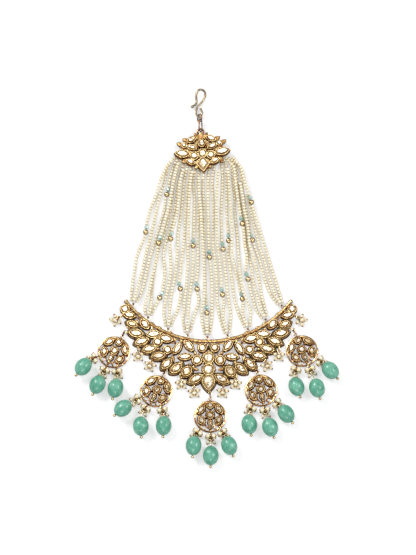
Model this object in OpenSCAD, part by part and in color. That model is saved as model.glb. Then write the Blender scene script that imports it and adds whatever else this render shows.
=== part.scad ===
/* [Layout] */
// Radius of the arched rail, to the middle of its width
rail_r = 52; // [48:0.5:56]
// Half-angle that the rail spans about its centre
rail_half = 52; // [46:1:56]
// Height of the rail's centre above the middle of the crescent
rail_cy = 62.6; // [58:0.2:66]
// Width of the rail
rail_w = 1.5; // [1.2:0.1:2.2]
// Height of the crown plaque's middle above the middle of the crescent
crown_y = 106.3; // [104:0.1:108]
// Turn of the crown plaque in its own plane
crown_turn = 4; // [0:1:8]

/* [Settings] */
// Thickness of the crescent's back plate
plate_t = 0.8; // [0.6:0.1:1.2]
// Height of the collets' rims above the surface
collet_top = 2.8; // [2.4:0.1:3.4]
// Wall of a collet
collet_wall = 0.55; // [0.4:0.05:0.7]
// How far the back plate reaches past each collet
plate_margin = 0.4; // [0.3:0.05:0.6]
// Room between a stone and its collet, on each side
stone_gap = 0.12; // [0.1:0.02:0.2]
// How far a stone's table stands above its collet
stone_rise = 0.8; // [0.5:0.1:1.2]

/* [Strings] */
// Diameter of a string of seed pearls
string_d = 2; // [1.8:0.05:2.1]
// Diameter of the bare thread
thread_d = 0.3; // [0.2:0.05:0.4]
// Diameter of the gold accent balls
gold_d = 2.7; // [2.4:0.1:3]
// Diameter of the aqua accent crystals
aqua_d = 2.2; // [1.8:0.1:2.4]

/* [Pendants] */
// Outer radius of a pendant's hoop
hoop_r = 8; // [7.5:0.1:8.5]
// Width of the hoop's wire at the sides and below
hoop_w = 0.7; // [0.6:0.1:1]
// Length of a green bead
bead_l = 9.6; // [9:0.1:10]
// Diameter of a green bead
bead_d = 7.7; // [7.4:0.1:8]
// Diameter of the loose pearls in the clusters
pearl_d = 2.1; // [1.9:0.05:2.3]
// Radius of the wire of the jump rings and pins
ring_wire = 0.22; // [0.18:0.01:0.26]

/* [Hidden] */
$fn = 32;

gold = [0.80, 0.62, 0.32];
dark_gold = [0.45, 0.30, 0.16];
pearl = [0.95, 0.91, 0.80];
clear_stone = [0.92, 0.92, 0.86];
aqua = [0.62, 0.82, 0.74];
jade = [0.46, 0.68, 0.57];

// Heights of the two layers in which the strings lie
lo = string_d / 2 + 0.06;
hi = lo + string_d + 0.15;
mid = (lo + hi) / 2;

// Eyelets that the jump rings and threads pass through: outer and hole radius, height and thickness
eye_r = 0.95;
eye_hole = 0.55;
eye_z = 1.3;
eye_t = 0.5;
string_eye_r = 0.9;
string_eye_hole = 0.5;
string_eye_z = 1.2;
string_eye_at = rail_r - rail_w / 2 - 0.5;

// Jump rings: radius of the ring's centre line, and height of its centre in an upright link
ring_r = 1.3;
link_z = ring_r + ring_wire + 0.1;
// Reach from one eyelet's hole to the other along an upright link
link_reach = 2 * sqrt(ring_r * ring_r - pow(link_z - eye_z - eye_t / 2, 2));
// Distance from a pendant's middle to the hole of its eyelets
drop_eye = hoop_r + 0.9;

// Crescent stones: kind, x, y, length, width, turn; the rows off the middle are mirrored to the left
CRESCENT = [
    ["round", 0, 2.1, 5, 5, 0], ["round", 0, -3.8, 5, 5, 0], ["drop", 0, -10.3, 7.2, 5.4, 0],
    ["round", 3.1, 7.1, 3.4, 3.4, 0], ["round", 5.7, 0.9, 4, 4, 0],
    ["leaf", 9.8, 8.3, 6, 2.6, 50], ["leaf", 15.3, 7, 6.4, 2.6, -58], ["leaf", 11.5, 2.7, 6.2, 2.7, -5],
    ["leaf", 10.7, -4.6, 5, 3.7, -45], ["leaf", 6.4, -8.4, 6.6, 3.2, -28], ["leaf", 15.9, -3.1, 6, 3.2, -38],
    ["round", 20.3, 6.2, 3.4, 3.4, 0], ["leaf", 21.1, 11.8, 6, 3.2, 12], ["round", 25.3, 10, 3.6, 3.6, 0],
    ["leaf", 27.2, 14, 6.4, 3, -5], ["leaf", 31.7, 19.1, 5, 3, 50], ["leaf", 29.2, 6.6, 6.2, 3, -12],
    ["leaf", 33, 10.4, 6.2, 3, -18], ["leaf", 35.9, 14.5, 6.4, 3.2, 10], ["leaf", 24.8, 3.1, 6, 2.8, -8],
    ["leaf", 20.6, -0.9, 5.6, 3, -45], ["leaf", 39.4, 23.7, 5.4, 2.8, 15], ["round", 41.5, 26.7, 3.6, 3.6, 0],
    ["leaf", 37.9, 19.1, 4.5, 2.3, 20]];

// Crown stones in the plaque's own frame, same columns
CROWN = [
    ["round", 0, 0, 3.8, 3.8, 0], ["round", 0, 5.4, 3.2, 3.2, 0], ["kite", 0, -5.3, 7, 5.4, 90],
    ["round", 4.2, -1, 3.4, 3.4, 0], ["leaf", 10, 0.5, 6.6, 3.2, 8], ["leaf", 4.9, 7.6, 4.6, 2.2, -24],
    ["round", 8.9, 4.9, 2, 2, 0], ["leaf", 5.2, 3.6, 4.4, 2.1, 18], ["leaf", 6.1, -4, 4, 1.9, 25]];

// Pendant stones in the pendant's own frame, not mirrored
PENDANT = [
    ["round", 0, 5.5, 2.4, 2.4, 0], ["leaf", 4.4, 3.45, 4.2, 2.2, -52], ["leaf", -4.4, 3.45, 4.2, 2.2, 52],
    ["round", 0, 0.7, 3, 3, 0], ["leaf", 4.3, -1.9, 3.6, 2.4, 68], ["leaf", -4.3, -1.9, 3.6, 2.4, -68],
    ["drop", 0, -3.6, 2.5, 1.3, 0]];

// Pendants: middle of the hoop and turn
PENDANTS = [[-46.9, 5.1, -27], [-25.8, -14.4, -23.6], [0.8, -27, 0], [25.9, -14.1, 10], [46.4, 5.7, 22]];

// Green beads of each pendant: x and y of the middle, direction of the long axis away from the pendant
BEADS = [
    [[-61.8, -2.6, -129], [-54.7, -11.5, -115], [-45.8, -13.3, -105]],
    [[-42, -23.3, -140], [-33.2, -32.1, -87], [-22, -31.9, -94]],
    [[-7.3, -41.7, -96], [1.1, -46.6, -92], [10.1, -41.7, -69]],
    [[20, -31.2, -80], [30.2, -32.6, -70], [38.1, -26, -55]],
    [[43.3, -12.5, -71], [53.4, -13.2, -75], [60.1, -4.4, -50]]];

// Edge clusters of the right side: x and y of the eyelet, direction in which the cluster hangs
EDGE = [[7.2, -13, -95], [13.6, -8.8, -95], [28.3, 0.2, -72], [34.9, 5.2, -92], [44.4, 22.4, -35]];

// Angles of the rail's string eyelets about the rail's centre, and direction in which the bundle leaves
TIES = [[-48, 72], [-36.5, 81], [-23.4, 84], [-11.9, 90], [-0.7, 90], [10.8, 99], [22.9, 104], [34.4, 114], [46.7, 123]];

// Strings: for each bundle its three strands from the crown down, as x, y, height,
// and 1 where bare thread with an accent pair runs to the next point
STRINGS = [
    [[[-22.2, 98, hi], [-24.6, 91.5, hi], [-27, 84, lo], [-29.5, 77, lo], [-31, 71, lo], [-31.2, 68.8, lo, 1],
      [-31.5, 66.2, lo], [-34, 59, lo], [-36, 53, lo], [-37, 46, lo], [-38, 39, lo], [-38.4, 34, lo]],
     [[-20.1, 101, lo], [-22.4, 92, lo], [-24.5, 85, lo], [-26, 78, lo], [-28.5, 66, lo], [-31.5, 54, lo],
      [-33.5, 44, lo], [-35, 38.5, mid], [-36, 34.5, hi]],
     [[-17.8, 100, lo], [-19.8, 92, lo], [-20.2, 88.2, lo, 1], [-21, 85.7, lo], [-22.4, 77, lo], [-25.5, 66, lo],
      [-27.5, 59, lo], [-29.2, 53.5, lo], [-30.5, 48, lo], [-31.4, 43, lo], [-32.6, 38, lo], [-34.3, 33.5, lo]]],
    [[[-16, 99, hi], [-17.6, 92, hi], [-20.1, 78, hi], [-21.8, 72, hi], [-24.2, 62.9, hi, 1], [-25, 60.2, hi],
      [-25.6, 53.5, hi], [-26.9, 48, hi], [-28, 43, hi], [-29.3, 36.5, hi], [-31.2, 30.5, mid], [-31.6, 26, lo]],
     [[-15, 101, lo], [-17.4, 92, lo], [-19.2, 78, lo], [-22, 66, lo], [-24.4, 59, lo], [-25.9, 53.5, lo],
      [-27.5, 43, lo], [-28.2, 36.5, lo], [-28.5, 31, lo], [-28.9, 26.5, hi]],
     [[-12.8, 101, lo], [-15.1, 92, lo], [-16.9, 78, lo], [-19.6, 66, lo], [-21.9, 59, lo], [-22.5, 53.5, lo],
      [-21.8, 45, lo], [-22.7, 37, lo], [-23.2, 34.9, lo, 1], [-24.3, 32.6, lo], [-25.6, 29.8, lo], [-27.6, 26, lo]]],
    [[[-12.5, 98.5, hi], [-14.3, 92, hi], [-15.4, 78, hi], [-16.7, 72, hi], [-18.4, 64.9, hi, 1], [-18.9, 62.3, hi],
      [-19.3, 57, lo], [-18.9, 50.5, lo], [-19, 44, lo], [-20.2, 37.5, lo], [-21.5, 31, lo], [-22.3, 25.5, lo],
      [-21.6, 20.5, lo]],
     [[-10.6, 101, lo], [-12.4, 92, lo], [-13.6, 78, lo], [-15.2, 66, lo], [-15.4, 59.5, lo], [-15.9, 51, lo],
      [-16.8, 43, lo], [-18, 37, lo], [-18.9, 31, lo], [-19.4, 25.5, mid], [-19.6, 20.5, hi]],
     [[-8.4, 101, lo], [-10.1, 92, lo], [-11.3, 78, lo], [-12.2, 63, lo], [-13, 56, lo], [-14.4, 42.5, lo],
      [-14.7, 39.7, lo, 1], [-14.1, 37.2, lo], [-14.3, 31, lo], [-15.6, 25.5, lo], [-18, 20.5, lo]]],
    [[[-8, 97.5, hi], [-9.1, 92, hi], [-9.8, 78, hi], [-10, 66, hi], [-10.3, 59, lo], [-10.3, 48.5, lo],
      [-11.1, 38, lo], [-12, 31, lo], [-12.3, 25.5, lo], [-12.6, 20.5, lo]],
     [[-6.2, 101, lo], [-7.8, 92, lo], [-7.1, 84.5, lo], [-7.1, 78, lo], [-7.5, 66, lo], [-7.7, 61.8, lo, 1],
      [-7.7, 59.2, lo], [-7.7, 50, lo], [-8.1, 43.5, lo], [-8.8, 37.5, lo], [-9.7, 31, lo], [-10, 25.5, mid],
      [-10.3, 20, hi]],
     [[-4, 101, lo], [-5.5, 92, lo], [-4.8, 84, lo], [-5.2, 66, lo], [-5.2, 49, lo],
      [-5.7, 43, lo], [-6, 39.5, lo, 1], [-5.7, 37, lo], [-4.8, 31, lo], [-6.4, 25.5, lo], [-8.1, 20, lo]]],
    [[[-4.7, 94.5, hi], [-4.6, 85, hi], [-3.9, 78, hi], [-3.3, 66, hi], [-2.5, 54, hi], [-2, 38.5, hi],
      [-2.4, 31, hi], [-3.4, 25.5, lo], [-3.1, 20, lo]],
     [[-1.6, 101, lo], [-2.8, 92, lo], [-2.4, 78, lo], [-2.1, 59, lo], [-1.8, 49, lo], [-1.6, 37, lo],
      [-0.9, 27.6, lo, 1], [-0.8, 25, lo], [-0.8, 20, mid]],
     [[0.7, 101, lo], [-0.3, 92, lo], [0, 66, lo], [0.3, 55.9, lo, 1], [0.5, 53.3, lo],
      [1, 49, lo], [1.8, 37, lo], [1.7, 25, lo], [1.4, 20, lo]]],
    [[[3, 101, lo], [2, 92, lo], [2.5, 78, lo], [2.3, 59, lo], [3, 53.5, lo], [4, 43, lo],
      [4.3, 31, lo], [5, 26, lo], [5.8, 22, lo]],
     [[5, 98, hi], [4.5, 92, hi], [4.1, 78, hi], [4.2, 66, hi], [4.6, 59, lo], [5.3, 53.5, lo], [6.4, 42.7, lo],
      [6.5, 36.7, lo, 1], [7, 34.2, lo], [7.6, 30.5, lo], [7.4, 26, mid], [7.3, 22, hi]],
     [[6.6, 101, lo], [7, 92, lo], [6.4, 78, lo], [6.5, 67, lo], [6.9, 60, lo, 1], [7.3, 57.4, lo],
      [7.7, 53.5, lo], [8.8, 43, lo], [9.4, 36, lo], [10.1, 30.5, lo], [10.9, 26, lo], [11, 22, lo]]],
    [[[8.8, 101, lo], [9.2, 92, lo], [9.2, 78, lo], [9.8, 67, lo], [9.9, 64.4, lo, 1], [10.1, 61.8, lo],
      [9.9, 55, lo], [10.7, 48, lo], [11.5, 43, lo], [12.3, 36, lo], [13.2, 30.5, lo], [14.5, 26, lo], [16, 22, lo]],
     [[9.6, 99, hi], [10.3, 92, hi], [11.1, 78, hi], [11.9, 66, hi], [11.6, 57, hi], [12.8, 49, lo],
      [14.4, 43, lo], [15.7, 36.5, lo], [16.4, 34.4, lo, 1], [16.9, 32, lo], [16.9, 26, mid], [17.6, 22, hi]],
     [[11.4, 101, lo], [12.4, 92, lo], [13.1, 84, lo], [13.1, 78, lo], [14.2, 66, lo], [14.8, 57, lo],
      [15.4, 50, lo], [15.9, 43, hi], [17.2, 36, hi], [18.9, 31.5, hi], [20.8, 26, lo], [20.9, 22, lo]]],
    [[[13, 99, hi], [13.6, 92, hi], [15.3, 79, hi], [16.3, 72.7, hi, 1], [16.9, 70.1, hi], [17.6, 66, hi],
      [18.1, 59, hi], [19, 53.5, hi], [18.8, 48, lo], [18.9, 44.6, lo, 1], [19.7, 42.1, lo], [21, 36, lo],
      [22.6, 30.5, lo], [24, 26, lo]],
     [[13.8, 100, lo], [14.6, 92, lo], [15.5, 84, lo], [16.6, 78, lo], [17.7, 72, lo], [18.6, 66, lo],
      [19.5, 59, lo], [21.4, 48, lo], [22, 43, lo], [23.4, 36, lo], [25.1, 30.5, mid], [26.3, 26, hi]],
     [[15.9, 91.5, hi], [17.2, 84, hi], [17.9, 78, hi], [19.1, 72, hi], [20, 66, hi], [20.6, 59, hi],
      [22.6, 53.5, hi], [23.8, 48, lo], [25, 43, lo], [26.1, 36, lo], [27.2, 30.5, lo], [28.4, 26, lo]]],
    [[[16.2, 99, lo], [16.8, 92, lo], [17.8, 84, lo], [18.9, 78, lo], [20.2, 72, lo], [21.2, 64.6, lo, 1],
      [22, 62.1, lo], [23, 59, lo], [24.9, 53.5, lo], [26.6, 48, lo], [27.8, 43, lo], [30, 36.5, lo],
      [32.2, 32.5, lo]],
     [[19.7, 86, lo], [21.2, 78, lo], [22.5, 72, lo], [25.4, 59, lo], [27.4, 53.5, lo], [29, 48, lo],
      [30.3, 43, lo], [32.3, 36.5, mid], [34, 32.5, hi]],
     [[16.5, 99, hi], [18.2, 92.5, hi], [19.4, 88, hi], [20.9, 83.7, hi, 1], [21.6, 81.2, hi], [22.7, 77, hi],
      [24.2, 72, hi], [25.9, 66.5, lo], [27.5, 61.5, lo], [30.3, 52, lo], [31.7, 47, lo], [33.4, 41.5, lo],
      [35, 36, lo], [36, 32.5, lo]]]];

// Hook: points of the bent wire from the ball tip over the bow to the end of the eye, as x, y, height, radius
HOOK = [
    [-8.9, 131.5, 0.85, 0.3], [-8.6, 131.7, 0.85, 0.75], [-8, 132.1, 0.85, 0.75], [-7.6, 132.4, 0.8, 0.5],
    [-6.6, 133, 0.7, 0.5], [-6.1, 134.8, 0.55, 0.5], [-6.3, 137.5, 0.55, 0.5], [-5.9, 139.9, 0.55, 0.5],
    [-4.8, 141.2, 0.55, 0.5], [-3.3, 141.2, 0.55, 0.5], [-2, 140, 0.55, 0.5], [-1.7, 138, 0.55, 0.5],
    [-2.6, 135.5, 0.6, 0.5], [-4, 133.5, 0.8, 0.5], [-5.4, 131.8, 1.1, 0.5], [-6.2, 130, 1.4, 0.5],
    [-6.2, 128, 1.6, 0.5], [-5.3, 126.3, 1.6, 0.5], [-4, 126.4, 1.6, 0.5], [-3.3, 128.1, 1.6, 0.5],
    [-3.7, 130, 1.5, 0.5], [-4.2, 130.9, 1.4, 0.5]];

function unit(v) = v / norm(v);
function rev(v) = [for (i = [len(v) - 1:-1:0]) v[i]];
function xyz(p) = [p[0], p[1], p[2]];
function kind_of(p) = len(p) > 3 ? p[3] : 0;

// One point of a smooth curve through four neighbours
function smooth(a, b, c, d, t) =
    (2 * b + (c - a) * t + (2 * a - 5 * b + 4 * c - d) * t * t + (3 * b - a - 3 * c + d) * t * t * t) / 2;

// A route with each bare stretch lengthened past its aqua crystal above and its gold ball below
function spread(v) = [
    for (i = [0:len(v) - 1])
        let (head = kind_of(v[i]) > 0, tail = i > 0 && kind_of(v[i - 1]) > 0,
             from = head ? v[i] : tail ? v[i - 1] : v[i], to = head ? v[i + 1] : v[i],
             dir = head || tail ? unit(xyz(to) - xyz(from)) : [0, 0, 0],
             move = head ? -aqua_d / 2 - 0.12 : tail ? gold_d / 2 + 0.12 : 0)
            concat(xyz(v[i]) + move * dir, [kind_of(v[i])])];

// Rings of a tube: centres and radii
function string_rings(pts) = [
    for (i = [0:len(pts) - 2])
        let (a = xyz(pts[max(i - 1, 0)]), b = xyz(pts[i]), c = xyz(pts[i + 1]),
             d = xyz(pts[min(i + 2, len(pts) - 1)]), bare = kind_of(pts[i]) > 0,
             r = bare ? thread_d / 2 : string_d / 2, steps = bare ? 1 : 2)
            for (k = [0:steps])
                if (k == 0 || k == steps || !bare)
                    if (k < steps || i == len(pts) - 2 || (kind_of(pts[i]) > 0) != (kind_of(pts[i + 1]) > 0))
                        let (q = bare ? b + (c - b) * k / steps : smooth(a, b, c, d, k / steps))
                            [[q[0], q[1], bare ? q[2] : max(q[2], min(b[2], c[2]))], r]];

function wire_rings(pts) = [for (p = pts) [xyz(p), p[3]]];

// Direction of a tube at one ring, from the nearest rings that lie apart
function ahead(rings, i) = i >= len(rings) - 1 ? i
    : norm(rings[i + 1][0] - rings[i][0]) > 0.01 ? i + 1 : ahead(rings, i + 1);
function behind(rings, i) = i <= 0 ? i
    : norm(rings[i][0] - rings[i - 1][0]) > 0.01 ? i - 1 : behind(rings, i - 1);
function course(rings, i) =
    let (f = ahead(rings, i), b = behind(rings, i)) unit(rings[min(f, len(rings) - 1)][0] - rings[b][0]);

module tube(rings, sides) {
    n = len(rings);
    points = [
        for (i = [0:n - 1])
            let (t = course(rings, i), across = unit(cross(t, [0, 0, 1])), up = cross(across, t))
                for (s = [0:sides - 1])
                    rings[i][0] + rings[i][1] * (across * cos(360 * s / sides) + up * sin(360 * s / sides))];
    walls = [
        for (i = [0:n - 2], s = [0:sides - 1])
            let (s2 = (s + 1) % sides) [i * sides + s, i * sides + s2, (i + 1) * sides + s2, (i + 1) * sides + s]];
    polyhedron(points, concat([[for (s = [sides - 1:-1:0]) s]], walls,
                              [[for (s = [0:sides - 1]) (n - 1) * sides + s]]), convexity = 6);
}

// Place and direction of a tie eyelet
function tie_at(i) = [string_eye_at * sin(TIES[i][0]), rail_cy - string_eye_at * cos(TIES[i][0]), 0];
function tie_dir(i) = [cos(TIES[i][1]), sin(TIES[i][1]), 0];
function tie_side(i) = [sin(TIES[i][1]), -cos(TIES[i][1]), 0];
function near_tie(i, along, aside, z) = tie_at(i) + along * tie_dir(i) + aside * tie_side(i) + [0, 0, z];

// The outer strands of a bundle are one thread that loops through the rail's eyelet
module strings(i) {
    half = string_d / 2 + 0.08;
    start = 2;
    over = string_eye_z + eye_t + thread_d / 2 + 0.12;
    under = string_eye_z - thread_d / 2 - 0.12;
    loop = [
        concat(near_tie(i, start, -half, lo), [1]),
        concat(near_tie(i, 0.95, -0.3, over), [1]),
        concat(near_tie(i, 0.1, 0, over), [1]),
        concat(near_tie(i, -0.1, 0, under), [1]),
        concat(near_tie(i, 0.95, 0.3, under), [1]),
        concat(near_tie(i, start, half, lo), [0])];
    color(pearl) {
        tube(string_rings(concat(spread(STRINGS[i][0]), loop, rev_route(spread(STRINGS[i][2])))), 8);
        tube(string_rings(concat(spread(STRINGS[i][1]), [near_tie(i, start, 0, hi)])), 8);
    }
}

// A route read upwards: the mark for bare thread moves to the other end of its stretch
function rev_route(v) = [
    for (i = [len(v) - 1:-1:0])
        concat(xyz(v[i]), [i > 0 ? kind_of(v[i - 1]) : 0])];

// Accent pairs: aqua at the upper point of each marked stretch, gold at the lower one
ACCENTS = [
    for (bundle = STRINGS, strand = bundle)
        for (i = [0:len(strand) - 2])
            if (kind_of(strand[i]) > 0) [xyz(strand[i]), xyz(strand[i + 1])]];

module along(p, dir) {
    tilt = acos(dir[2] / norm(dir));
    translate(p) rotate([0, tilt, atan2(dir[1], dir[0])]) children();
}

module accent(share, d) {
    for (a = ACCENTS) {
        dir = a[1] - a[0];
        p = a[0] + dir * share;
        along([p[0], p[1], max(p[2], d / 2 + 0.02)], dir) difference() {
            sphere(d = d);
            cylinder(h = d + 1, d = thread_d + 0.24 + 2 * max(0, d / 2 + 0.02 - p[2]), center = true);
        }
    }
}

module leaf2(l, w) {
    r = (l * l + w * w) / (4 * w);
    intersection() {
        translate([0, r - w / 2]) circle(r, $fn = 96);
        translate([0, w / 2 - r]) circle(r, $fn = 96);
    }
}

module drop2(l, w) {
    reach = l - w / 2;
    translate([0, l / 2 - w / 2]) {
        circle(d = w);
        intersection() {
            rotate(90) leaf2(2 * reach, w);
            translate([-w, -reach - 1]) square([2 * w, reach + 1]);
        }
    }
}

module outline(row, grow) {
    translate([row[1], row[2]]) rotate(row[5]) {
        if (row[0] == "round") circle(d = row[3] + 2 * grow);
        if (row[0] == "leaf") leaf2(row[3] + 2.6 * grow, row[4] + 2 * grow);
        if (row[0] == "drop") drop2(row[3] + 2.3 * grow, row[4] + 2 * grow);
        if (row[0] == "kite")
            polygon([[row[3] / 2 + 1.4 * grow, 0], [0, row[4] / 2 + 1.2 * grow],
                     [-row[3] / 2 - 1.4 * grow, 0], [0, -row[4] / 2 - 1.2 * grow]]);
    }
}

// Corners of a stone's outline, eight in all
function leaf_half(x, l, w) = let (r = (l * l + w * w) / (4 * w)) sqrt(r * r - x * x) - (r - w / 2);
function corners(kind, l, w) =
    kind == "leaf" ? concat([for (s = [-0.5, -0.3, 0, 0.3]) [s * l, -leaf_half(s * l, l, w)]],
                            [for (s = [0.5, 0.3, 0, -0.3]) [s * l, leaf_half(s * l, l, w)]])
    : kind == "kite" ? [for (s = [0:7]) let (c = cos(45 * s), t = sin(45 * s))
                            s % 2 == 0 ? [c * l / 2, t * w / 2] : [sign(c) * l * 0.255, sign(t) * w * 0.255]]
    : [for (s = [0:7]) let (c = cos(45 * s), t = sin(45 * s))
          kind == "drop" && s == 6 ? [0, -l / 2] : [c * w / 2, (kind == "drop" ? l / 2 - w / 2 : 0) + t * w / 2]];

module stone(row, base, rim) {
    cut = corners(row[0], row[3], row[4]);
    middle = row[0] == "drop" ? [0, (row[3] - row[4]) * 0.28] : [0, 0];
    table = [for (c = cut) middle + (c - middle) * 0.55];
    points = concat([for (c = cut) [c[0], c[1], base]], [for (c = cut) [c[0], c[1], rim]],
                    [for (c = table) [c[0], c[1], rim + stone_rise]]);
    sides = [for (k = [0, 8], s = [0:7]) [k + s, k + 8 + s, k + 8 + (s + 1) % 8, k + (s + 1) % 8]];
    translate([row[1], row[2]]) rotate(row[5])
        polyhedron(points, concat([[for (s = [0:7]) s]], sides, [[for (s = [7:-1:0]) 16 + s]]));
}

function mirrored(rows) = concat(rows, [for (r = rows) if (r[1] > 0) [r[0], -r[1], r[2], r[3], r[4], -r[5]]]);

module collets(rows, base, thick, rim) {
    translate([0, 0, base]) linear_extrude(thick) for (r = rows) outline(r, collet_wall + plate_margin);
    translate([0, 0, base + thick]) linear_extrude(rim - base - thick) difference() {
        for (r = rows) outline(r, collet_wall);
        for (r = rows) outline(r, stone_gap);
    }
}

module stones(rows, base, rim) {
    for (r = rows) stone(r, base + 0.1, rim);
}

module eyelet(p, outer, hole, z) {
    translate([p[0], p[1], z]) difference() {
        cylinder(h = eye_t, r = outer);
        translate([0, 0, -1]) cylinder(h = eye_t + 2, r = hole);
    }
}

module bar(a, b, w, z, h) {
    d = b - a;
    translate([a[0], a[1], z]) rotate(atan2(d[1], d[0])) translate([0, -w / 2, 0]) cube([norm(d), w, h]);
}

module torus(big, small) {
    rotate_extrude($fn = 48) translate([big, 0]) circle(small, $fn = 24);
}

function polar(r, a) = [r * cos(a), r * sin(a)];
function pendant_up(i) = polar(1, PENDANTS[i][2] + 90);
function pendant_mid(i) = [PENDANTS[i][0], PENDANTS[i][1]];
function link_eye(i) = pendant_mid(i) + (drop_eye + link_reach) * pendant_up(i);

// Where the arm of each pendant's link eyelet is soldered to the crescent
ANCHORS = [[-38.4, 14.6], [-21.6, -1.5], [0.2, -13], [21.9, -1.9], [38.6, 18.2]];

// Short struts of the crescent: from, to
STRUTS = [
    [[0, 4], [0, 10.5]], [[5, 3], [9, 3]], [[13.8, 9.6], [13.4, 12.4]], [[16.5, 9.3], [17, 13.5]], [[22, 13], [22.8, 15.8]],
    [[28.5, 15], [27.6, 18.4]], [[32.5, 20.4], [31, 21]], [[38.4, 24], [36.8, 26]], [[13, 1], [16, -2]],
    [[36, 16], [37, 18]], [[26, 8], [27, 7]], [[17.2, 4], [19, 6]], [[6, -1], [8.6, -3.4]], [[3.2, -9.8], [2, -9]],
    [[38.6, 16.4], [40.5, 18]], [[19, -2], [23.6, 2]], [[33.5, 18], [36.5, 17.8]]];

module crescent_plate() color(gold) difference() {
    union() {
        collets(mirrored(CRESCENT), 0, plate_t, collet_top);
        translate([0, rail_cy, 0]) rotate(270 - rail_half) rotate_extrude(angle = 2 * rail_half, $fn = 180)
            translate([rail_r - rail_w / 2, 0]) {
                square([rail_w, 1.8]);
                translate([rail_w / 2, 1.8]) intersection() {
                    circle(rail_w / 2);
                    translate([-rail_w / 2, 0]) square([rail_w, rail_w]);
                }
            }
        for (s = STRUTS, m = [1, -1])
            bar([m * s[0][0], s[0][1]], [m * s[1][0], s[1][1]], 1, 0, 1.5);
        for (i = [0:8]) eyelet(tie_at(i), string_eye_r, string_eye_hole, string_eye_z);
        for (e = EDGE, m = [1, -1]) {
            eyelet([m * e[0], e[1]], eye_r, eye_hole, eye_z);
            bar([m * (e[0] - 0.7 * cos(e[2])), e[1] - 0.7 * sin(e[2])],
                [m * (e[0] - 3.4 * cos(e[2])), e[1] - 3.4 * sin(e[2])], 1, 0.4, eye_z + eye_t - 0.4);
        }
        for (i = [0:4]) {
            eyelet(link_eye(i), eye_r, eye_hole, eye_z);
            bar(link_eye(i) + 0.7 * unit(ANCHORS[i] - link_eye(i)), ANCHORS[i], 1, 0.4, eye_z + eye_t - 0.4);
        }
    }
    translate([0, 0, plate_t]) linear_extrude(5) for (r = mirrored(CRESCENT)) outline(r, stone_gap);
    for (i = [0:8]) translate(tie_at(i)) cylinder(h = 8, r = string_eye_hole);
    for (i = [0:4]) translate([link_eye(i)[0], link_eye(i)[1], -1]) cylinder(h = 8, r = eye_hole);
}

module crescent_stones() color(clear_stone) stones(mirrored(CRESCENT), plate_t, collet_top);

// The crown plaque lies on the lower layer of strings
crown_base = lo + string_d / 2 + 0.15;
crown_plate_t = 0.8;
crown_rim = crown_base + 2.6;
crown_at = [-3.1, crown_y];
bail_at = [-0.1, 11.8];

module in_crown() translate([crown_at[0], crown_at[1], 0]) rotate(crown_turn) children();

module crown_plaque() color(gold) in_crown() {
    difference() {
        union() {
            collets(mirrored(CROWN), crown_base, crown_plate_t, crown_rim);
            translate([0, 0, crown_base]) linear_extrude(crown_plate_t) {
                translate([0, 1.5]) circle(5);
                for (m = [1, -1]) {
                    translate([m * 6.5, 1.2]) circle(2.6);
                    translate([m * 8.6, 3.2]) circle(1.6);
                    translate([m * 4.2, -3]) circle(1.9);
                }
            }
            for (m = [1, -1]) translate([m * 11.4, 4.9, crown_base]) cylinder(h = 1.6, r = 0.9);
            for (m = [1, -1]) bar([m * 8.9, 4.9], [m * 11.4, 4.9], 1.1, crown_base, crown_plate_t);
            translate([9.4, -4.6, crown_base + 0.9]) sphere(1);
            bar([7, -3], [9.4, -4.6], 1, crown_base, crown_plate_t);
            translate([bail_at[0], bail_at[1], crown_base]) cylinder(h = crown_plate_t, r = 2);
            bar([0, 6], [bail_at[0], bail_at[1] - 1.2], 1.8, crown_base, crown_plate_t);
        }
        translate([0, 0, crown_base + crown_plate_t]) linear_extrude(6)
            for (r = mirrored(CROWN)) outline(r, stone_gap);
        translate([bail_at[0], bail_at[1], crown_base - 1]) cylinder(h = 4, r = 1);
    }
}

module crown_stones() color(clear_stone) in_crown()
    stones(mirrored(CROWN), crown_base + crown_plate_t, crown_rim);

module hook() color(gold) tube(wire_rings(HOOK), 8);

// Upper link in the hook's eye, and oval link between it and the bail
module hook_links() color(dark_gold) {
    translate([-4.45, 125.5, 2.1]) rotate([0, -60, 0]) torus(2, 0.33);
    translate([-4.05, 121.5, 2.75]) rotate([0, 62, 0]) {
        for (e = [1, -1]) translate([0, e * 1.75, 0]) rotate(e > 0 ? 0 : 180)
            rotate_extrude(angle = 180, $fn = 48) translate([1.5, 0]) circle(0.3, $fn = 24);
        for (m = [1, -1]) translate([m * 1.5, 0, 0]) rotate([90, 0, 0]) cylinder(h = 3.5, r = 0.3, center = true, $fn = 24);
    }
}

module in_pendant(i) translate([PENDANTS[i][0], PENDANTS[i][1], 0]) rotate(PENDANTS[i][2]) children();

// Direction from a pendant's middle to the near end of one of its beads
function bead_axis(b) = polar(1, b[2]);
function bead_end(b) = [b[0], b[1]] - (bead_l / 2) * bead_axis(b);
function drop_dir(i, k) = let (d = bead_end(BEADS[i][k]) - pendant_mid(i)) atan2(d[1], d[0]);
function drop_hole(i, k) = pendant_mid(i) + polar(drop_eye, drop_dir(i, k));

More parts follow.
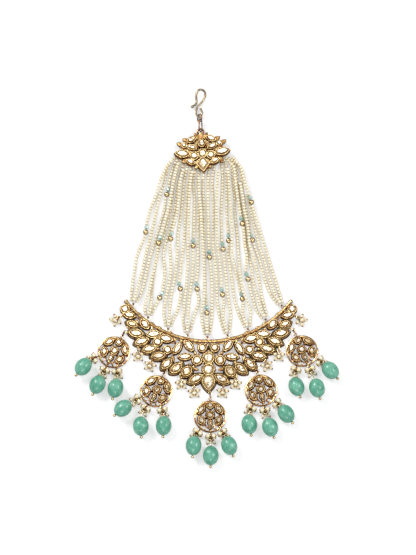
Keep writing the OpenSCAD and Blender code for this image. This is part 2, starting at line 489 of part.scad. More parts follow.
module pendant_frame(i) color(gold) {
    in_pendant(i) difference() {
        union() {
            collets(PENDANT, 0, 0.7, 2.2);
            linear_extrude(eye_z + eye_t) {
                difference() {
                    circle(hoop_r, $fn = 96);
                    circle(hoop_r - hoop_w, $fn = 96);
                }
                difference() {
                    circle(hoop_r, $fn = 96);
                    translate([0, -1.1]) circle(hoop_r - 0.3, $fn = 96);
                }
            }
            for (m = [1, -1]) {
                bar([m * 4.9, -3.9], [m * 6, -4.9], 1.2, 0, 1.2);
                bar([m * 1.6, -0.6], [m * 3.6, -1.6], 1.2, 0, 1);
                bar([m * 0.5, -5.4], [m * 4.2, -3.7], 0.9, 0, 1.2);
                bar([m * 2.4, 5.2], [m * 1, 5.6], 1, 0, 1);
                bar([m * 5.9, 1.4], [m * 7.4, 1.2], 1, 0, 1);
            }
            bar([0, 6], [0, 7.6], 1.4, 0, 1.2);
            bar([0, -7.6], [0, -3.8], 1, 0, 1.2);
            translate([0, -6.1, 1.1]) sphere(0.75);
            eyelet([0, drop_eye], eye_r, eye_hole, eye_z);
        }
        translate([0, 0, 0.7]) linear_extrude(4) for (r = PENDANT) outline(r, stone_gap);
        translate([0, drop_eye, 0]) cylinder(h = 4, r = eye_hole);
    }
    for (k = [0:2]) eyelet(drop_hole(i, k), eye_r, eye_hole, eye_z);
}

module pendant_stones(i) color(clear_stone) in_pendant(i) stones(PENDANT, 0.7, 2.2);

// Jump ring that stands upright between two eyelets
module pendant_link(i) color(dark_gold) {
    p = link_eye(i) - (link_reach / 2) * pendant_up(i);
    translate([p[0], p[1], link_z]) rotate(PENDANTS[i][2]) rotate([0, 90, 0]) torus(ring_r, ring_wire);
}

// Oval bead, drilled through along its axis
module green_bead(i, k) color(jade) {
    b = BEADS[i][k];
    translate([b[0], b[1], bead_d / 2]) rotate(b[2]) rotate([0, 90, 0]) difference() {
        scale([bead_d, bead_d, bead_l] / 2) sphere(1, $fn = 64);
        cylinder(h = 2 * bead_l, r = bead_hole, center = true, $fn = 32);
    }
}

// Radius of the drilled hole
bead_hole = ring_wire + 0.15;

// Ring that carries a green bead: centre at reach and height from the eyelet's hole
lean = 32;
carry_r = 1.35;
carry_out = carry_r * cos(lean);
carry_z = eye_z + eye_t / 2 + carry_r * sin(lean);
// Pin loop: radius, and offset past the ring's far side
loop_r = 0.72;
loop_out = 0.18;
// Turn of the loop about its own axis, so that its seam lies away from the pin's wire
loop_seam = 100;
// Pin: radius of its wire, of the knuckle where it enters the bead, and of its end ball
pin_r = 0.17;
pin_bend_r = 0.25;
pin_ball_r = 0.72;

module pin(i, k) {
    b = BEADS[i][k];
    a = drop_dir(i, k);
    far = carry_out + (carry_r + loop_out) * cos(lean);
    hole = drop_hole(i, k);
    c = hole + polar(far, a);
    cz = carry_z + (carry_r + loop_out) * sin(lean);
    neck = c + polar(loop_r * cos(lean), a);
    neck_z = cz + loop_r * sin(lean);
    entry = bead_end(b) - 0.05 * bead_axis(b);
    exit = [b[0], b[1]] + (bead_l / 2 + pin_ball_r) * bead_axis(b);
    translate([c[0], c[1], cz]) rotate(a) rotate([0, -lean, 0]) rotate(loop_seam) torus(loop_r, ring_wire);
    start = [neck[0], neck[1], neck_z];
    bend = [entry[0], entry[1], bead_d / 2];
    rod = [exit[0], exit[1], bead_d / 2] - bend;
    along(start, bend - start) cylinder(h = norm(bend - start), r = pin_r);
    translate(bend) rotate(a + 90) sphere(pin_bend_r);
    along(bend, rod) rotate_extrude() intersection() {
        union() {
            square([pin_r, norm(rod)]);
            translate([0, norm(rod)]) circle(pin_ball_r);
        }
        square([pin_ball_r, norm(rod) + pin_ball_r]);
    }
}

module pins(i) color(gold) for (k = [0:2]) pin(i, k);

// Pearls of a cluster about its jump ring: reach past the hole, sideways, height
DROP_PEARLS = [[1.7, 1.25, 1.2], [1.7, -1.25, 1.2], [0.9, 1.35, 3.4], [0.9, -1.35, 3.4]];
EDGE_PEARLS = [[1.2, 1.7, 1.2], [1.2, -1.7, 1.2], [3.5, 1.2, 1.2], [3.5, -1.3, 1.3], [2.6, 0, 3.1]];

module cluster(p, a, pearls) {
    translate([p[0], p[1], 0]) rotate(a) {
        translate([carry_out, 0, carry_z]) rotate([90, 0, 0]) color(dark_gold) torus(carry_r, ring_wire);
        for (q = pearls) {
            from = [carry_out, 0, carry_z] + carry_r * unit([q[0] - carry_out + 0.1, 0, q[2] - carry_z]);
            d = q - from;
            color(pearl) translate(q) sphere(d = pearl_d);
            color(gold) along(from, d) cylinder(h = norm(d), r = 0.16);
            tip = q + unit(d) * (pearl_d / 2 + 0.15);
            color(gold) translate(tip) sphere(0.4);
        }
    }
}

module clusters(i) for (k = [0:2])
    cluster(drop_hole(i, k), drop_dir(i, k), DROP_PEARLS);

module edge_clusters(m) for (e = EDGE) cluster([m * e[0], e[1]], m > 0 ? e[2] : 180 - e[2], EDGE_PEARLS);

hook();
hook_links();
crown_plaque();
crown_stones();
strings(0);  // strings_1
strings(1);  // strings_2
strings(2);  // strings_3
strings(3);  // strings_4
strings(4);  // strings_5
strings(5);  // strings_6
strings(6);  // strings_7
strings(7);  // strings_8
strings(8);  // strings_9
color(gold) accent(1, gold_d);  // accent_gold
color(aqua) accent(0, aqua_d);  // accent_aqua
crescent_plate();
crescent_stones();
edge_clusters(-1);  // edge_clusters_left
edge_clusters(1);  // edge_clusters_right
pendant_frame(0);  // pendant_frame_1
pendant_frame(1);  // pendant_frame_2
pendant_frame(2);  // pendant_frame_3
pendant_frame(3);  // pendant_frame_4
pendant_frame(4);  // pendant_frame_5
pendant_stones(0);  // pendant_stones_1
pendant_stones(1);  // pendant_stones_2
pendant_stones(2);  // pendant_stones_3
pendant_stones(3);  // pendant_stones_4
pendant_stones(4);  // pendant_stones_5
pendant_link(0);  // pendant_link_1
pendant_link(1);  // pendant_link_2
pendant_link(2);  // pendant_link_3
pendant_link(3);  // pendant_link_4
pendant_link(4);  // pendant_link_5
green_bead(0, 0);  // green_bead_1a
green_bead(0, 1);  // green_bead_1b
green_bead(0, 2);  // green_bead_1c
green_bead(1, 0);  // green_bead_2a
green_bead(1, 1);  // green_bead_2b
green_bead(1, 2);  // green_bead_2c
green_bead(2, 0);  // green_bead_3a
green_bead(2, 1);  // green_bead_3b
green_bead(2, 2);  // green_bead_3c
green_bead(3, 0);  // green_bead_4a
green_bead(3, 1);  // green_bead_4b
green_bead(3, 2);  // green_bead_4c
green_bead(4, 0);  // green_bead_5a
green_bead(4, 1);  // green_bead_5b
green_bead(4, 2);  // green_bead_5c
pins(0);  // pins_1
pins(1);  // pins_2
pins(2);  // pins_3
pins(3);  // pins_4
pins(4);  // pins_5
clusters(0);  // clusters_1
clusters(1);  // clusters_2
clusters(2);  // clusters_3
clusters(3);  // clusters_4
clusters(4);  // clusters_5
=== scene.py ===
import math

import bpy
import numpy as np
from mathutils import Matrix, Vector


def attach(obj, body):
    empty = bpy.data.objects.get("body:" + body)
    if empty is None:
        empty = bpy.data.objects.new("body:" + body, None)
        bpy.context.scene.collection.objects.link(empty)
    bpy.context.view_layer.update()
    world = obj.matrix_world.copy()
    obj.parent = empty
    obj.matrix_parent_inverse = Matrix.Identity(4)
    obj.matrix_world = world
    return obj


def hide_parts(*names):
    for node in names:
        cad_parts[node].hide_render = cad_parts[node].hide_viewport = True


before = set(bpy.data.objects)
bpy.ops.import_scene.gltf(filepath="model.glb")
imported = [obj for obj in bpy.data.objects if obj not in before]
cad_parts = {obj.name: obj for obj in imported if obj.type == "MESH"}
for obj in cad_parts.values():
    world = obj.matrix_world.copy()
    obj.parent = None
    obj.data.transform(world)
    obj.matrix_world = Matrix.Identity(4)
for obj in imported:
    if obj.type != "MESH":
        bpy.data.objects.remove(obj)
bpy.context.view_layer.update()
MM = 0.001

# Table, light and camera
# The piece lies flat on a white table and is seen from almost straight above. Three broad lamps
# and a dim room light it, and a small lamp high up puts glints on flat metal and on the stones.
scene = bpy.context.scene
scene.view_settings.view_transform = "Standard"


def finish_nodes(name):
    """A new material with its nodes, its links and its shader."""
    made = bpy.data.materials.new(name)
    made.use_nodes = True
    tree = made.node_tree
    return made, tree.nodes, tree.links, tree.nodes["Principled BSDF"]


def put(nodes, kind, **values):
    """A node of one kind, with its properties set and its sockets set or fed."""
    node = nodes.new(kind)
    for key, value in values.items():
        if isinstance(value, bpy.types.NodeSocket):
            node.id_data.links.new(value, node.inputs[key])
        elif key in node.inputs:
            node.inputs[key].default_value = value
        else:
            setattr(node, key, value)
    return node


def calc(nodes, kind, *feeds, clamp=False):
    """A maths node fed with sockets and numbers; gives its output."""
    node = put(nodes, "ShaderNodeMath", operation=kind, use_clamp=clamp)
    for place, feed in enumerate(feeds):
        if isinstance(feed, bpy.types.NodeSocket):
            node.id_data.links.new(feed, node.inputs[place])
        else:
            node.inputs[place].default_value = feed
    return node.outputs["Value"]


def ramp(nodes, feed, stops, interpolation="LINEAR"):
    """A colour ramp on one socket, its stops given as position and colour; gives its output."""
    node = put(nodes, "ShaderNodeValToRGB", Fac=feed)
    node.color_ramp.interpolation = interpolation
    elements = node.color_ramp.elements
    elements.remove(elements[1])
    elements[0].position, elements[0].color = stops[0][0], (*stops[0][1], 1)
    for place, colour in stops[1:]:
        elements.new(place).color = (*colour, 1)
    return node.outputs["Color"]


def texture(nodes, kind, **values):
    """A texture that lies on object coordinates."""
    place = nodes.new("ShaderNodeTexCoord")
    return put(nodes, kind, Vector=place.outputs["Object"], **values)


def mottled(nodes, links, shader, stops, **noise):
    """Colours a shader through a ramp from noise."""
    cloud = texture(nodes, "ShaderNodeTexNoise", **noise)
    links.new(ramp(nodes, cloud.outputs["Fac"], stops), shader.inputs["Base Color"])


TABLE_DROP = 0.00005
bpy.ops.mesh.primitive_plane_add(size=3, location=(0, 0, -TABLE_DROP))
table = bpy.context.object
table.name = "table"
white, nodes, links, shader = finish_nodes("white table")
mottled(nodes, links, shader, [(0.3, (0.60, 0.60, 0.60)), (0.7, (0.62, 0.62, 0.62))], Scale=40.0)
shader.inputs["Roughness"].default_value = 0.9
shader.inputs["Emission Color"].default_value = (1, 1, 1, 1)
seen = nodes.new("ShaderNodeLightPath")
TABLE_GLOW = 0.45
glow = calc(nodes, "MULTIPLY", seen.outputs["Is Camera Ray"], TABLE_GLOW)
links.new(glow, shader.inputs["Emission Strength"])
table.data.materials.append(white)

room = bpy.data.worlds.new("room")
room.use_nodes = True
room.node_tree.nodes["Background"].inputs["Color"].default_value = (1, 1, 1, 1)
room.node_tree.nodes["Background"].inputs["Strength"].default_value = 0.4
scene.world = room
LAMPS = [((-0.75, 0.75, 1.0), 0.5, 11), ((0.9, 0.1, 1.0), 0.5, 6), ((0.0, -0.9, 0.8), 0.5, 3.5),
         ((-0.05, 0.3, 1.1), 0.26, 0.8)]
for place, across, power in LAMPS:
    aim = (Vector((0, 0.04, 0)) - Vector(place)).to_track_quat("-Z", "Y").to_euler()
    bpy.ops.object.light_add(type="AREA", location=place, rotation=aim)
    bpy.context.object.data.size = across
    bpy.context.object.data.energy = power

LEAN = math.radians(12)
AIM = Vector((-0.00025, 0.0432, 0))
bpy.ops.object.camera_add(location=AIM + Vector((0, -math.sin(LEAN), math.cos(LEAN))),
                          rotation=(LEAN, 0, 0))
camera = bpy.context.object
camera.data.sensor_width = 36
camera.data.lens = 129.7
scene.camera = camera

# Crescent: the metal setting
# The main piece is one soldered setting of plated brass: a half-round rail above, thin cups for
# the stones below, joined where they touch and by short bars, with small rings for all that hangs.
FLANGE = 0.95
PLATE = 0.8
CUP_TOP = 2.8
RAIL_R = 52
RAIL_HALF = 52
RAIL_CY = 62.6
RAIL_W = 1.5
# kind, x, y, length, width, turn, and 1 where the outer wall flares out; mirrored to the left
CRESCENT = [
    ("round", 0, 2.1, 5, 5, 0, 0), ("round", 0, -3.8, 5, 5, 0, 0), ("drop", 0, -10.3, 7.2, 5.4, 0, 1),
    ("round", 3.1, 7.1, 3.4, 3.4, 0, 0), ("round", 5.7, 0.9, 4, 4, 0, 0),
    ("leaf", 9.8, 8.3, 6, 2.6, 50, 0), ("leaf", 15.3, 7, 6.4, 2.6, -58, 0),
    ("leaf", 11.5, 2.7, 6.2, 2.7, -5, 0), ("leaf", 10.7, -4.6, 5, 3.7, -45, 1),
    ("leaf", 6.4, -8.4, 6.6, 3.2, -28, 1), ("leaf", 15.9, -3.1, 6, 3.2, -38, 1),
    ("round", 20.3, 6.2, 3.4, 3.4, 0, 0), ("leaf", 21.1, 11.8, 6, 3.2, 12, 0),
    ("round", 25.3, 10, 3.6, 3.6, 0, 0), ("leaf", 27.2, 14, 6.4, 3, -5, 0),
    ("leaf", 31.7, 19.1, 5, 3, 50, 0), ("leaf", 29.2, 6.6, 6.2, 3, -12, 1),
    ("leaf", 33, 10.4, 6.2, 3, -18, 1), ("leaf", 35.9, 14.5, 6.4, 3.2, 10, 1),
    ("leaf", 24.8, 3.1, 6, 2.8, -8, 1), ("leaf", 20.6, -0.9, 5.6, 3, -45, 1),
    ("leaf", 39.4, 23.7, 5.4, 2.8, 15, 0), ("round", 41.5, 26.7, 3.6, 3.6, 0, 0),
    ("leaf", 37.9, 19.1, 4.5, 2.3, 20, 1)]


def clear():
    """Leaves object mode with nothing selected."""
    if bpy.context.mode != "OBJECT":
        bpy.ops.object.mode_set(mode="OBJECT")
    bpy.ops.object.select_all(action="DESELECT")


def edit_all(thing):
    """Takes one object into edit mode with all of it selected."""
    clear()
    thing.select_set(True)
    bpy.context.view_layer.objects.active = thing
    bpy.ops.object.mode_set(mode="EDIT")
    bpy.ops.mesh.select_all(action="SELECT")


def pick(thing, test):
    """Takes one object into edit mode with only the corners that pass a test selected."""
    edit_all(thing)
    bpy.ops.mesh.select_mode(type="VERT")
    bpy.ops.mesh.select_all(action="DESELECT")
    bpy.ops.object.mode_set(mode="OBJECT")
    for corner in thing.data.vertices:
        corner.select = test(corner.co)
    bpy.ops.object.mode_set(mode="EDIT")


def standing(x, y, turn):
    """The move that turns a thing about the upright axis, in degrees, and then puts it in place."""
    return Matrix.Translation((x, y, 0)) @ Matrix.Rotation(math.radians(turn), 4, "Z")


def copy_of(thing, x, y, turn):
    """A copy with its own mesh, turned about the upright axis and put in place."""
    made = thing.copy()
    made.data = thing.data.copy()
    made.matrix_world = standing(x, y, turn)
    scene.collection.objects.link(made)
    return made


def joined(parts):
    """One object out of several, at the origin and unturned."""
    clear()
    for part in parts:
        part.select_set(True)
    bpy.context.view_layer.objects.active = parts[0]
    if len(parts) > 1:
        bpy.ops.object.join()
    bpy.ops.object.transform_apply(location=True, rotation=True, scale=True)
    return bpy.context.object


def settle(parts, name, finish, nodes=(), smooth=35):
    """Joins parts drawn in millimetres, brings them to metres, and gives them finish and body."""
    piece = joined(parts)
    piece.scale = (MM, MM, MM)
    bpy.ops.object.transform_apply(location=False, rotation=False, scale=True)
    piece.name = name
    piece.data.name = name
    if smooth:
        bpy.ops.object.shade_smooth_by_angle(angle=math.radians(smooth))
    else:
        bpy.ops.object.shade_flat()
    piece.data.materials.clear()
    piece.data.materials.append(finish)
    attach(piece, "root")
    if nodes:
        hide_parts(*nodes)
    return piece


def outline(kind, length, width, sides):
    """A flat face in the outline of one stone: a circle, a leaf, a drop or a kite, left selected."""
    clear()
    if kind == "leaf":
        bow = (length * length + width * width) / (4 * width)
        bpy.ops.mesh.primitive_circle_add(vertices=int(sides * 2.2), radius=bow)
        thing = bpy.context.object
        edit_all(thing)
        bpy.ops.transform.translate(value=(0, width / 2 - bow, 0))
        bpy.ops.mesh.symmetrize(direction="POSITIVE_Y")
        bpy.ops.mesh.select_all(action="SELECT")
        bpy.ops.mesh.remove_doubles(threshold=0.2)
        bpy.ops.mesh.edge_face_add()
    elif kind == "kite":
        bpy.ops.mesh.primitive_circle_add(vertices=8, radius=0.5, fill_type="NGON")
        thing = bpy.context.object
        pick(thing, lambda at: min(abs(at.x), abs(at.y)) > 0.1)
        bpy.ops.transform.resize(value=(0.76, 0.76, 1), center_override=(0, 0, 0))
        bpy.ops.mesh.select_all(action="SELECT")
        bpy.ops.transform.resize(value=(length, width, 1), center_override=(0, 0, 0))
    else:
        bpy.ops.mesh.primitive_circle_add(vertices=sides, radius=width / 2, fill_type="NGON")
        thing = bpy.context.object
        if kind == "drop":
            pick(thing, lambda at: at.y < 0.001 - width / 2)
            bpy.ops.transform.translate(value=(0, width - length, 0), use_proportional_edit=True,
                                        proportional_edit_falloff="SHARP", proportional_size=width * 0.75)
            bpy.ops.mesh.select_all(action="SELECT")
            bpy.ops.transform.translate(value=(0, (length - width) / 2, 0))
    clear()
    upside_down = thing.data.polygons[0].normal.z < 0
    edit_all(thing)
    bpy.ops.mesh.select_mode(type="FACE")
    bpy.ops.mesh.select_all(action="SELECT")
    if upside_down:
        bpy.ops.mesh.flip_normals()
    return thing


def grown(row, grow):
    """Length and width of a stone's outline, grown on all sides."""
    kind, length, width = row[0], row[3], row[4]
    longer = {"round": 2, "leaf": 2.6, "drop": 2.3, "kite": 2.8}[kind]
    return length + longer * grow, width + (2.4 if kind == "kite" else 2) * grow


def turned_up(row, sides, levels):
    """A closed body of one stone's outline, drawn up through levels of growth and height."""
    size = grown(row, levels[0][0])
    thing = outline(row[0], *size, sides)
    bpy.ops.transform.translate(value=(0, 0, levels[0][1]))
    height = levels[0][1]
    for grow, level in levels[1:]:
        wide = grown(row, grow)
        bpy.ops.mesh.extrude_region_move(TRANSFORM_OT_translate={"value": (0, 0, level - height)})
        ratio = (wide[0] / size[0], wide[1] / size[1])
        if row[0] == "drop":
            ratio = (ratio[1], ratio[0])
        bpy.ops.transform.resize(value=(*ratio, 1), center_override=(0, 0, level))
        size, height = wide, level
    clear()
    thing.matrix_world = standing(row[1], row[2], row[5])
    return thing


def cup(row, base, plate, top, flare=False):
    """One cup: a flange on the back, a wall that leans in, a rounded lip and a hollow for the stone."""
    lip = [(0.52, top - 0.16), (0.4, top), (0.16, top), (0.04, top - 0.16), (0.02, base + plate + 0.1)]
    if flare:
        foot = [(1.6, base), (1.6, base + 0.35), (1.48, base + 0.5), (1.08, top - 0.9),
                (0.98, top - 0.72), (0.86, top - 0.74), (0.66, top - 1.05)]
    else:
        foot = [(FLANGE, base), (FLANGE, base + plate - 0.1), (FLANGE - 0.1, base + plate),
                (0.62, base + plate)]
    return turned_up(row, 24, foot + lip)


def with_mirror(rows, build, *sizes):
    """Builds one thing for each row, and its twin on the left for the rows off the middle."""
    made = []
    for row in rows:
        thing = build(row, *sizes)
        made.append(thing)
        if row[1] > 0:
            made.append(copy_of(thing, -row[1], row[2], -row[5]))
    return made


def petal(row, base, high):
    """A small solid leaf of metal with a raised middle, for the openwork between the cups."""
    return turned_up(row, 20, [(0, base), (0, high - 0.35), (-0.25, high - 0.05), (-0.5, high)])


def bar(a, b, width, low, high):
    """A short flat bar between two points, with its edges broken."""
    a, b = Vector((*a, 0)), Vector((*b, 0))
    along = b - a
    clear()
    bpy.ops.mesh.primitive_cube_add(size=1)
    thing = bpy.context.object
    edit_all(thing)
    bpy.ops.transform.resize(value=(along.length, width, high - low))
    bpy.ops.mesh.bevel(offset=min(width, high - low) * 0.28, segments=2)
    clear()
    turn = Matrix.Rotation(math.atan2(along.y, along.x), 4, "Z")
    thing.matrix_world = Matrix.Translation((a + b) / 2 + Vector((0, 0, (low + high) / 2))) @ turn
    return thing


def ring(x, y, z, outer, hole, turn=(0, 0, 0), steps=20):
    """A ring of round wire."""
    clear()
    bpy.ops.mesh.primitive_torus_add(major_radius=(outer + hole) / 2, minor_radius=(outer - hole) / 2,
                                     major_segments=steps, minor_segments=8, location=(x, y, z),
                                     rotation=turn)
    return bpy.context.object


def wire(points, radius, sides=8):
    """A tube of round wire through the points; radius is one number or one for each point."""
    radii = radius if isinstance(radius, (list, tuple)) else [radius] * len(points)
    line = bpy.data.curves.new("wire", "CURVE")
    line.dimensions = "3D"
    line.bevel_depth = 1
    line.bevel_resolution = max(0, sides // 2 - 2)
    line.use_fill_caps = True
    spline = line.splines.new("POLY")
    spline.points.add(len(points) - 1)
    for point, place, wide in zip(spline.points, points, radii):
        point.co = (*place, 1)
        point.radius = wide
    clear()
    thing = bpy.data.objects.new("wire", line)
    scene.collection.objects.link(thing)
    thing.select_set(True)
    bpy.context.view_layer.objects.active = thing
    bpy.ops.object.convert(target="MESH")
    return bpy.context.object


def arc(cx, cy, radius, start, end, z, steps):
    """Points on an arc, angles in degrees."""
    turns = [math.radians(start + (end - start) * k / steps) for k in range(steps + 1)]
    return [(cx + radius * math.cos(a), cy + radius * math.sin(a), z) for a in turns]


def grain(x, y, z, radius):
    """One small ball of metal."""
    clear()
    bpy.ops.mesh.primitive_ico_sphere_add(subdivisions=2, radius=radius, location=(x, y, z))
    return bpy.context.object


def grain_circle(x, y, reach, count, z, radius):
    """A circle of small balls."""
    turns = [2 * math.pi * k / count for k in range(count)]
    return [grain(x + reach * math.cos(a), y + reach * math.sin(a), z, radius) for a in turns]


def half_round_rail():
    """The rail: a tall half-round profile spun about the rail's centre, its ends closed."""
    middle = 1.8
    clear()
    bpy.ops.mesh.primitive_circle_add(vertices=16, radius=RAIL_W / 2, location=(RAIL_R, 0, middle),
                                      rotation=(math.pi / 2, 0, 0))
    thing = bpy.context.object
    bpy.ops.object.transform_apply(location=True, rotation=True, scale=True)
    pick(thing, lambda at: at.z < middle - 0.01)
    bpy.ops.transform.resize(value=(1, 1, 0.02), center_override=(0, 0, middle))
    bpy.ops.transform.translate(value=(0, 0, 0.02 - middle))
    bpy.ops.mesh.select_all(action="SELECT")
    bpy.ops.mesh.spin(steps=84, angle=-math.radians(2 * RAIL_HALF), center=(0, 0, 0), axis=(0, 0, 1))
    bpy.ops.mesh.select_all(action="SELECT")
    bpy.ops.mesh.remove_doubles(threshold=0.01)
    bpy.ops.mesh.fill_holes(sides=0)
    bpy.ops.mesh.normals_make_consistent(inside=False)
    clear()
    thing.matrix_world = standing(0, RAIL_CY, 270 - RAIL_HALF)
    return thing


def on_rail(radius, angle):
    """A point at an angle from the rail's lowest place."""
    return (radius * math.sin(math.radians(angle)), RAIL_CY - radius * math.cos(math.radians(angle)))


setting = with_mirror(CRESCENT, lambda row: cup(row, 0, PLATE, CUP_TOP, row[6] > 0))
setting.append(half_round_rail())
LOWER_RAIL_R = RAIL_R + 1.5
LOWER_RAIL_HALF = 50.5
lower_rail = arc(0, RAIL_CY, LOWER_RAIL_R, 270 - LOWER_RAIL_HALF, 270 + LOWER_RAIL_HALF, 1.1, 80)
setting.append(wire(lower_rail, 0.36))
BAR_STEP = 3.05
for step in range(-16, 17):
    if step % 2:
        setting.append(grain(*on_rail(RAIL_R + 0.72, step * BAR_STEP), 1.55, 0.42))
    between = step * BAR_STEP + 1.5
    setting.append(bar(on_rail(RAIL_R + 0.3, between), on_rail(LOWER_RAIL_R, between), 0.6, 0.4, 1.3))
for side in (-1, 1):
    setting.append(grain(*on_rail(RAIL_R, side * RAIL_HALF), 1.3, 1.1))

STRUTS = [
    ((0, 4), (0, 10.5)), ((5, 3), (9, 3)), ((13.8, 9.6), (13.4, 12.4)), ((16.5, 9.3), (17, 13.5)),
    ((22, 13), (22.8, 15.8)), ((28.5, 15), (27.6, 18.4)), ((32.5, 20.4), (31, 21)),
    ((38.4, 24), (36.8, 26)), ((13, 1), (16, -2)), ((36, 16), (37, 18)), ((26, 8), (27, 7)),
    ((17.2, 4), (19, 6)), ((6, -1), (8.6, -3.4)), ((3.2, -9.8), (2, -9)), ((38.6, 16.4), (40.5, 18)),
    ((19, -2), (23.6, 2)), ((33.5, 18), (36.5, 17.8))]
for a, b in STRUTS:
    for side in (-1, 1):
        setting.append(bar((side * a[0], a[1]), (side * b[0], b[1]), 1, 0, 1.5))

# Openwork between the cups and under the rail
PETALS = [
    ("leaf", 6.4, 10.6, 3, 1.7, 20), ("leaf", 12.6, 12.2, 3.4, 1.7, 12),
    ("leaf", 18.6, 14.4, 3.6, 1.8, 50), ("leaf", 24.4, 17.2, 3.4, 1.8, 32),
    ("leaf", 28, 19.4, 3.2, 1.7, 25), ("leaf", 34.4, 24, 3.6, 1.8, 46), ("leaf", 6.6, 4.6, 3, 1.6, 60),
    ("leaf", 17.6, 2, 3.6, 1.8, 70), ("leaf", 25, 6.6, 2.8, 1.6, 10), ("leaf", 13.5, -0.4, 3, 1.6, -30),
    ("leaf", 6.2, -3.4, 3, 1.7, 20), ("leaf", 35.6, 20.2, 3, 1.7, 70)]
setting += with_mirror(PETALS, petal, 0.2, 1.9)
LOOSE_GRAINS = [(4.6, 4), (8.6, 5.6), (14.4, 3.6), (17.8, 9.6), (23, 7.4), (30, 17), (33.6, 15.4),
                (9.4, -1), (3.2, -7.4)]
for x, y in LOOSE_GRAINS:
    for side in (-1, 1):
        setting.append(grain(side * x, y, 1.7, 0.6))

# Rings of grains about the two middle rounds
for row in CRESCENT[:2]:
    setting += grain_circle(row[1], row[2], 3.4, 16, 1.9, 0.5)

# Small rings that the threads, the drops and the pendants hang from
EYE = (0.95, 0.55)
EYE_Z = 1.55
STRING_EYE = (0.9, 0.5)
TIES = [
    (-48, 72), (-36.5, 81), (-23.4, 84), (-11.9, 90), (-0.7, 90), (10.8, 99), (22.9, 104), (34.4, 114),
    (46.7, 123)]
TIE_R = RAIL_R - RAIL_W / 2 - 0.5
EDGE = [(7.2, -13, -95), (13.6, -8.8, -95), (28.3, 0.2, -72), (34.9, 5.2, -92), (44.4, 22.4, -35)]
for angle, _ in TIES:
    setting.append(ring(*on_rail(TIE_R, angle), 1.45, *STRING_EYE))


def turned(point, angle):
    """A flat vector turned by an angle in degrees."""
    c, s = math.cos(math.radians(angle)), math.sin(math.radians(angle))
    return (point[0] * c - point[1] * s, point[0] * s + point[1] * c)


for x, y, hang in EDGE:
    for side in (-1, 1):
        setting.append(ring(side * x, y, EYE_Z, *EYE))
        inwards = [turned((-reach, 0), hang) for reach in (0.7, 3.4)]
        near, far = [(side * (x + way[0]), y + way[1]) for way in inwards]
        setting.append(bar(near, far, 0.9, 0.9, 1.8))

HOOP_R = 8
JUMP_R = 1.3
JUMP_WIRE = 0.22
JUMP_Z = JUMP_R + JUMP_WIRE + 0.1
REACH = 2 * math.sqrt(JUMP_R ** 2 - (JUMP_Z - EYE_Z) ** 2)
DROP_EYE = HOOP_R + 0.9
PENDANTS = [(-46.9, 5.1, -27), (-25.8, -14.4, -23.6), (0.8, -27, 0), (25.9, -14.1, 10), (46.4, 5.7, 22)]
ANCHORS = [(-38.4, 14.6), (-21.6, -1.5), (0.2, -13), (21.9, -1.9), (38.6, 18.2)]
for (x, y, turn), anchor in zip(PENDANTS, ANCHORS):
    up = turned((0, 1), turn)
    eye = (x + (DROP_EYE + REACH) * up[0], y + (DROP_EYE + REACH) * up[1])
    away = Vector((anchor[0] - eye[0], anchor[1] - eye[1])).normalized()
    setting.append(ring(*eye, EYE_Z, *EYE))
    setting.append(bar((eye[0] + 0.7 * away.x, eye[1] + 0.7 * away.y), anchor, 0.9, 0.9, 1.8))


def gold_wear_and_painted_light_group():
    """Old gold plate: bright where high and open, dark brown in low places and hollows (partly patina,
    partly painted shade), a painted highlight on sharp edges, stains and fine pits.
    """
    group = bpy.data.node_groups.new("gold wear and painted light", "ShaderNodeTree")
    face = group.interface
    for name, value in (("Low", 0.0), ("High", 0.003), ("Edge", 0.8)):
        face.new_socket(name, in_out="INPUT", socket_type="NodeSocketFloat").default_value = value
    for name, kind in (("Color", "Color"), ("Roughness", "Float"), ("Height", "Float")):
        face.new_socket(name, in_out="OUTPUT", socket_type="NodeSocket" + kind)
    n, link = group.nodes, group.links.new
    given = n.new("NodeGroupInput")
    given_out = n.new("NodeGroupOutput")
    place = n.new("ShaderNodeTexCoord")
    split = put(n, "ShaderNodeSeparateXYZ", Vector=place.outputs["Object"])
    # Height: dark brown low down and bright high up, partly patina and partly painted shade.
    height = put(n, "ShaderNodeMapRange", Value=split.outputs["Z"])
    link(given.outputs["Low"], height.inputs["From Min"])
    link(given.outputs["High"], height.inputs["From Max"])
    # Painted shade in hollows from occlusion, with patina there too, and a painted highlight on sharp
    # edges from inside occlusion.
    hollow = put(n, "ShaderNodeAmbientOcclusion", Distance=0.0008, samples=8)
    rim = put(n, "ShaderNodeAmbientOcclusion", Distance=0.0003, samples=8, inside=True)
    stain = texture(n, "ShaderNodeTexNoise", Scale=850.0, Detail=3.0, Roughness=0.65)
    open_ = calc(n, "POWER", hollow.outputs["AO"], 1.5)
    sharp = calc(n, "SUBTRACT", 1.0, rim.outputs["AO"])
    edge = calc(n, "MULTIPLY", sharp, given.outputs["Edge"])
    mixed = calc(n, "MULTIPLY", height.outputs["Result"], open_)
    raised = calc(n, "MULTIPLY_ADD", mixed, 0.72, edge)
    blotch = calc(n, "MULTIPLY_ADD", stain.outputs["Fac"], 2.0, -1.04)
    total = calc(n, "ADD", raised, blotch, clamp=True)
    tone = ramp(n, total, [
        (0.05, (0.06, 0.016, 0.006)), (0.28, (0.21, 0.065, 0.025)), (0.48, (0.46, 0.20, 0.07)),
        (0.68, (0.88, 0.53, 0.19)), (0.9, (1.0, 0.78, 0.38))])
    dull = put(n, "ShaderNodeMapRange", Value=total)
    dull.inputs["To Min"].default_value = 0.55
    dull.inputs["To Max"].default_value = 0.2
    pits = texture(n, "ShaderNodeTexNoise", Scale=1500.0, Detail=2.0)
    link(tone, given_out.inputs["Color"])
    link(dull.outputs["Result"], given_out.inputs["Roughness"])
    link(pits.outputs["Fac"], given_out.inputs["Height"])
    return group


GOLD_WEAR_AND_PAINTED_LIGHT = gold_wear_and_painted_light_group()


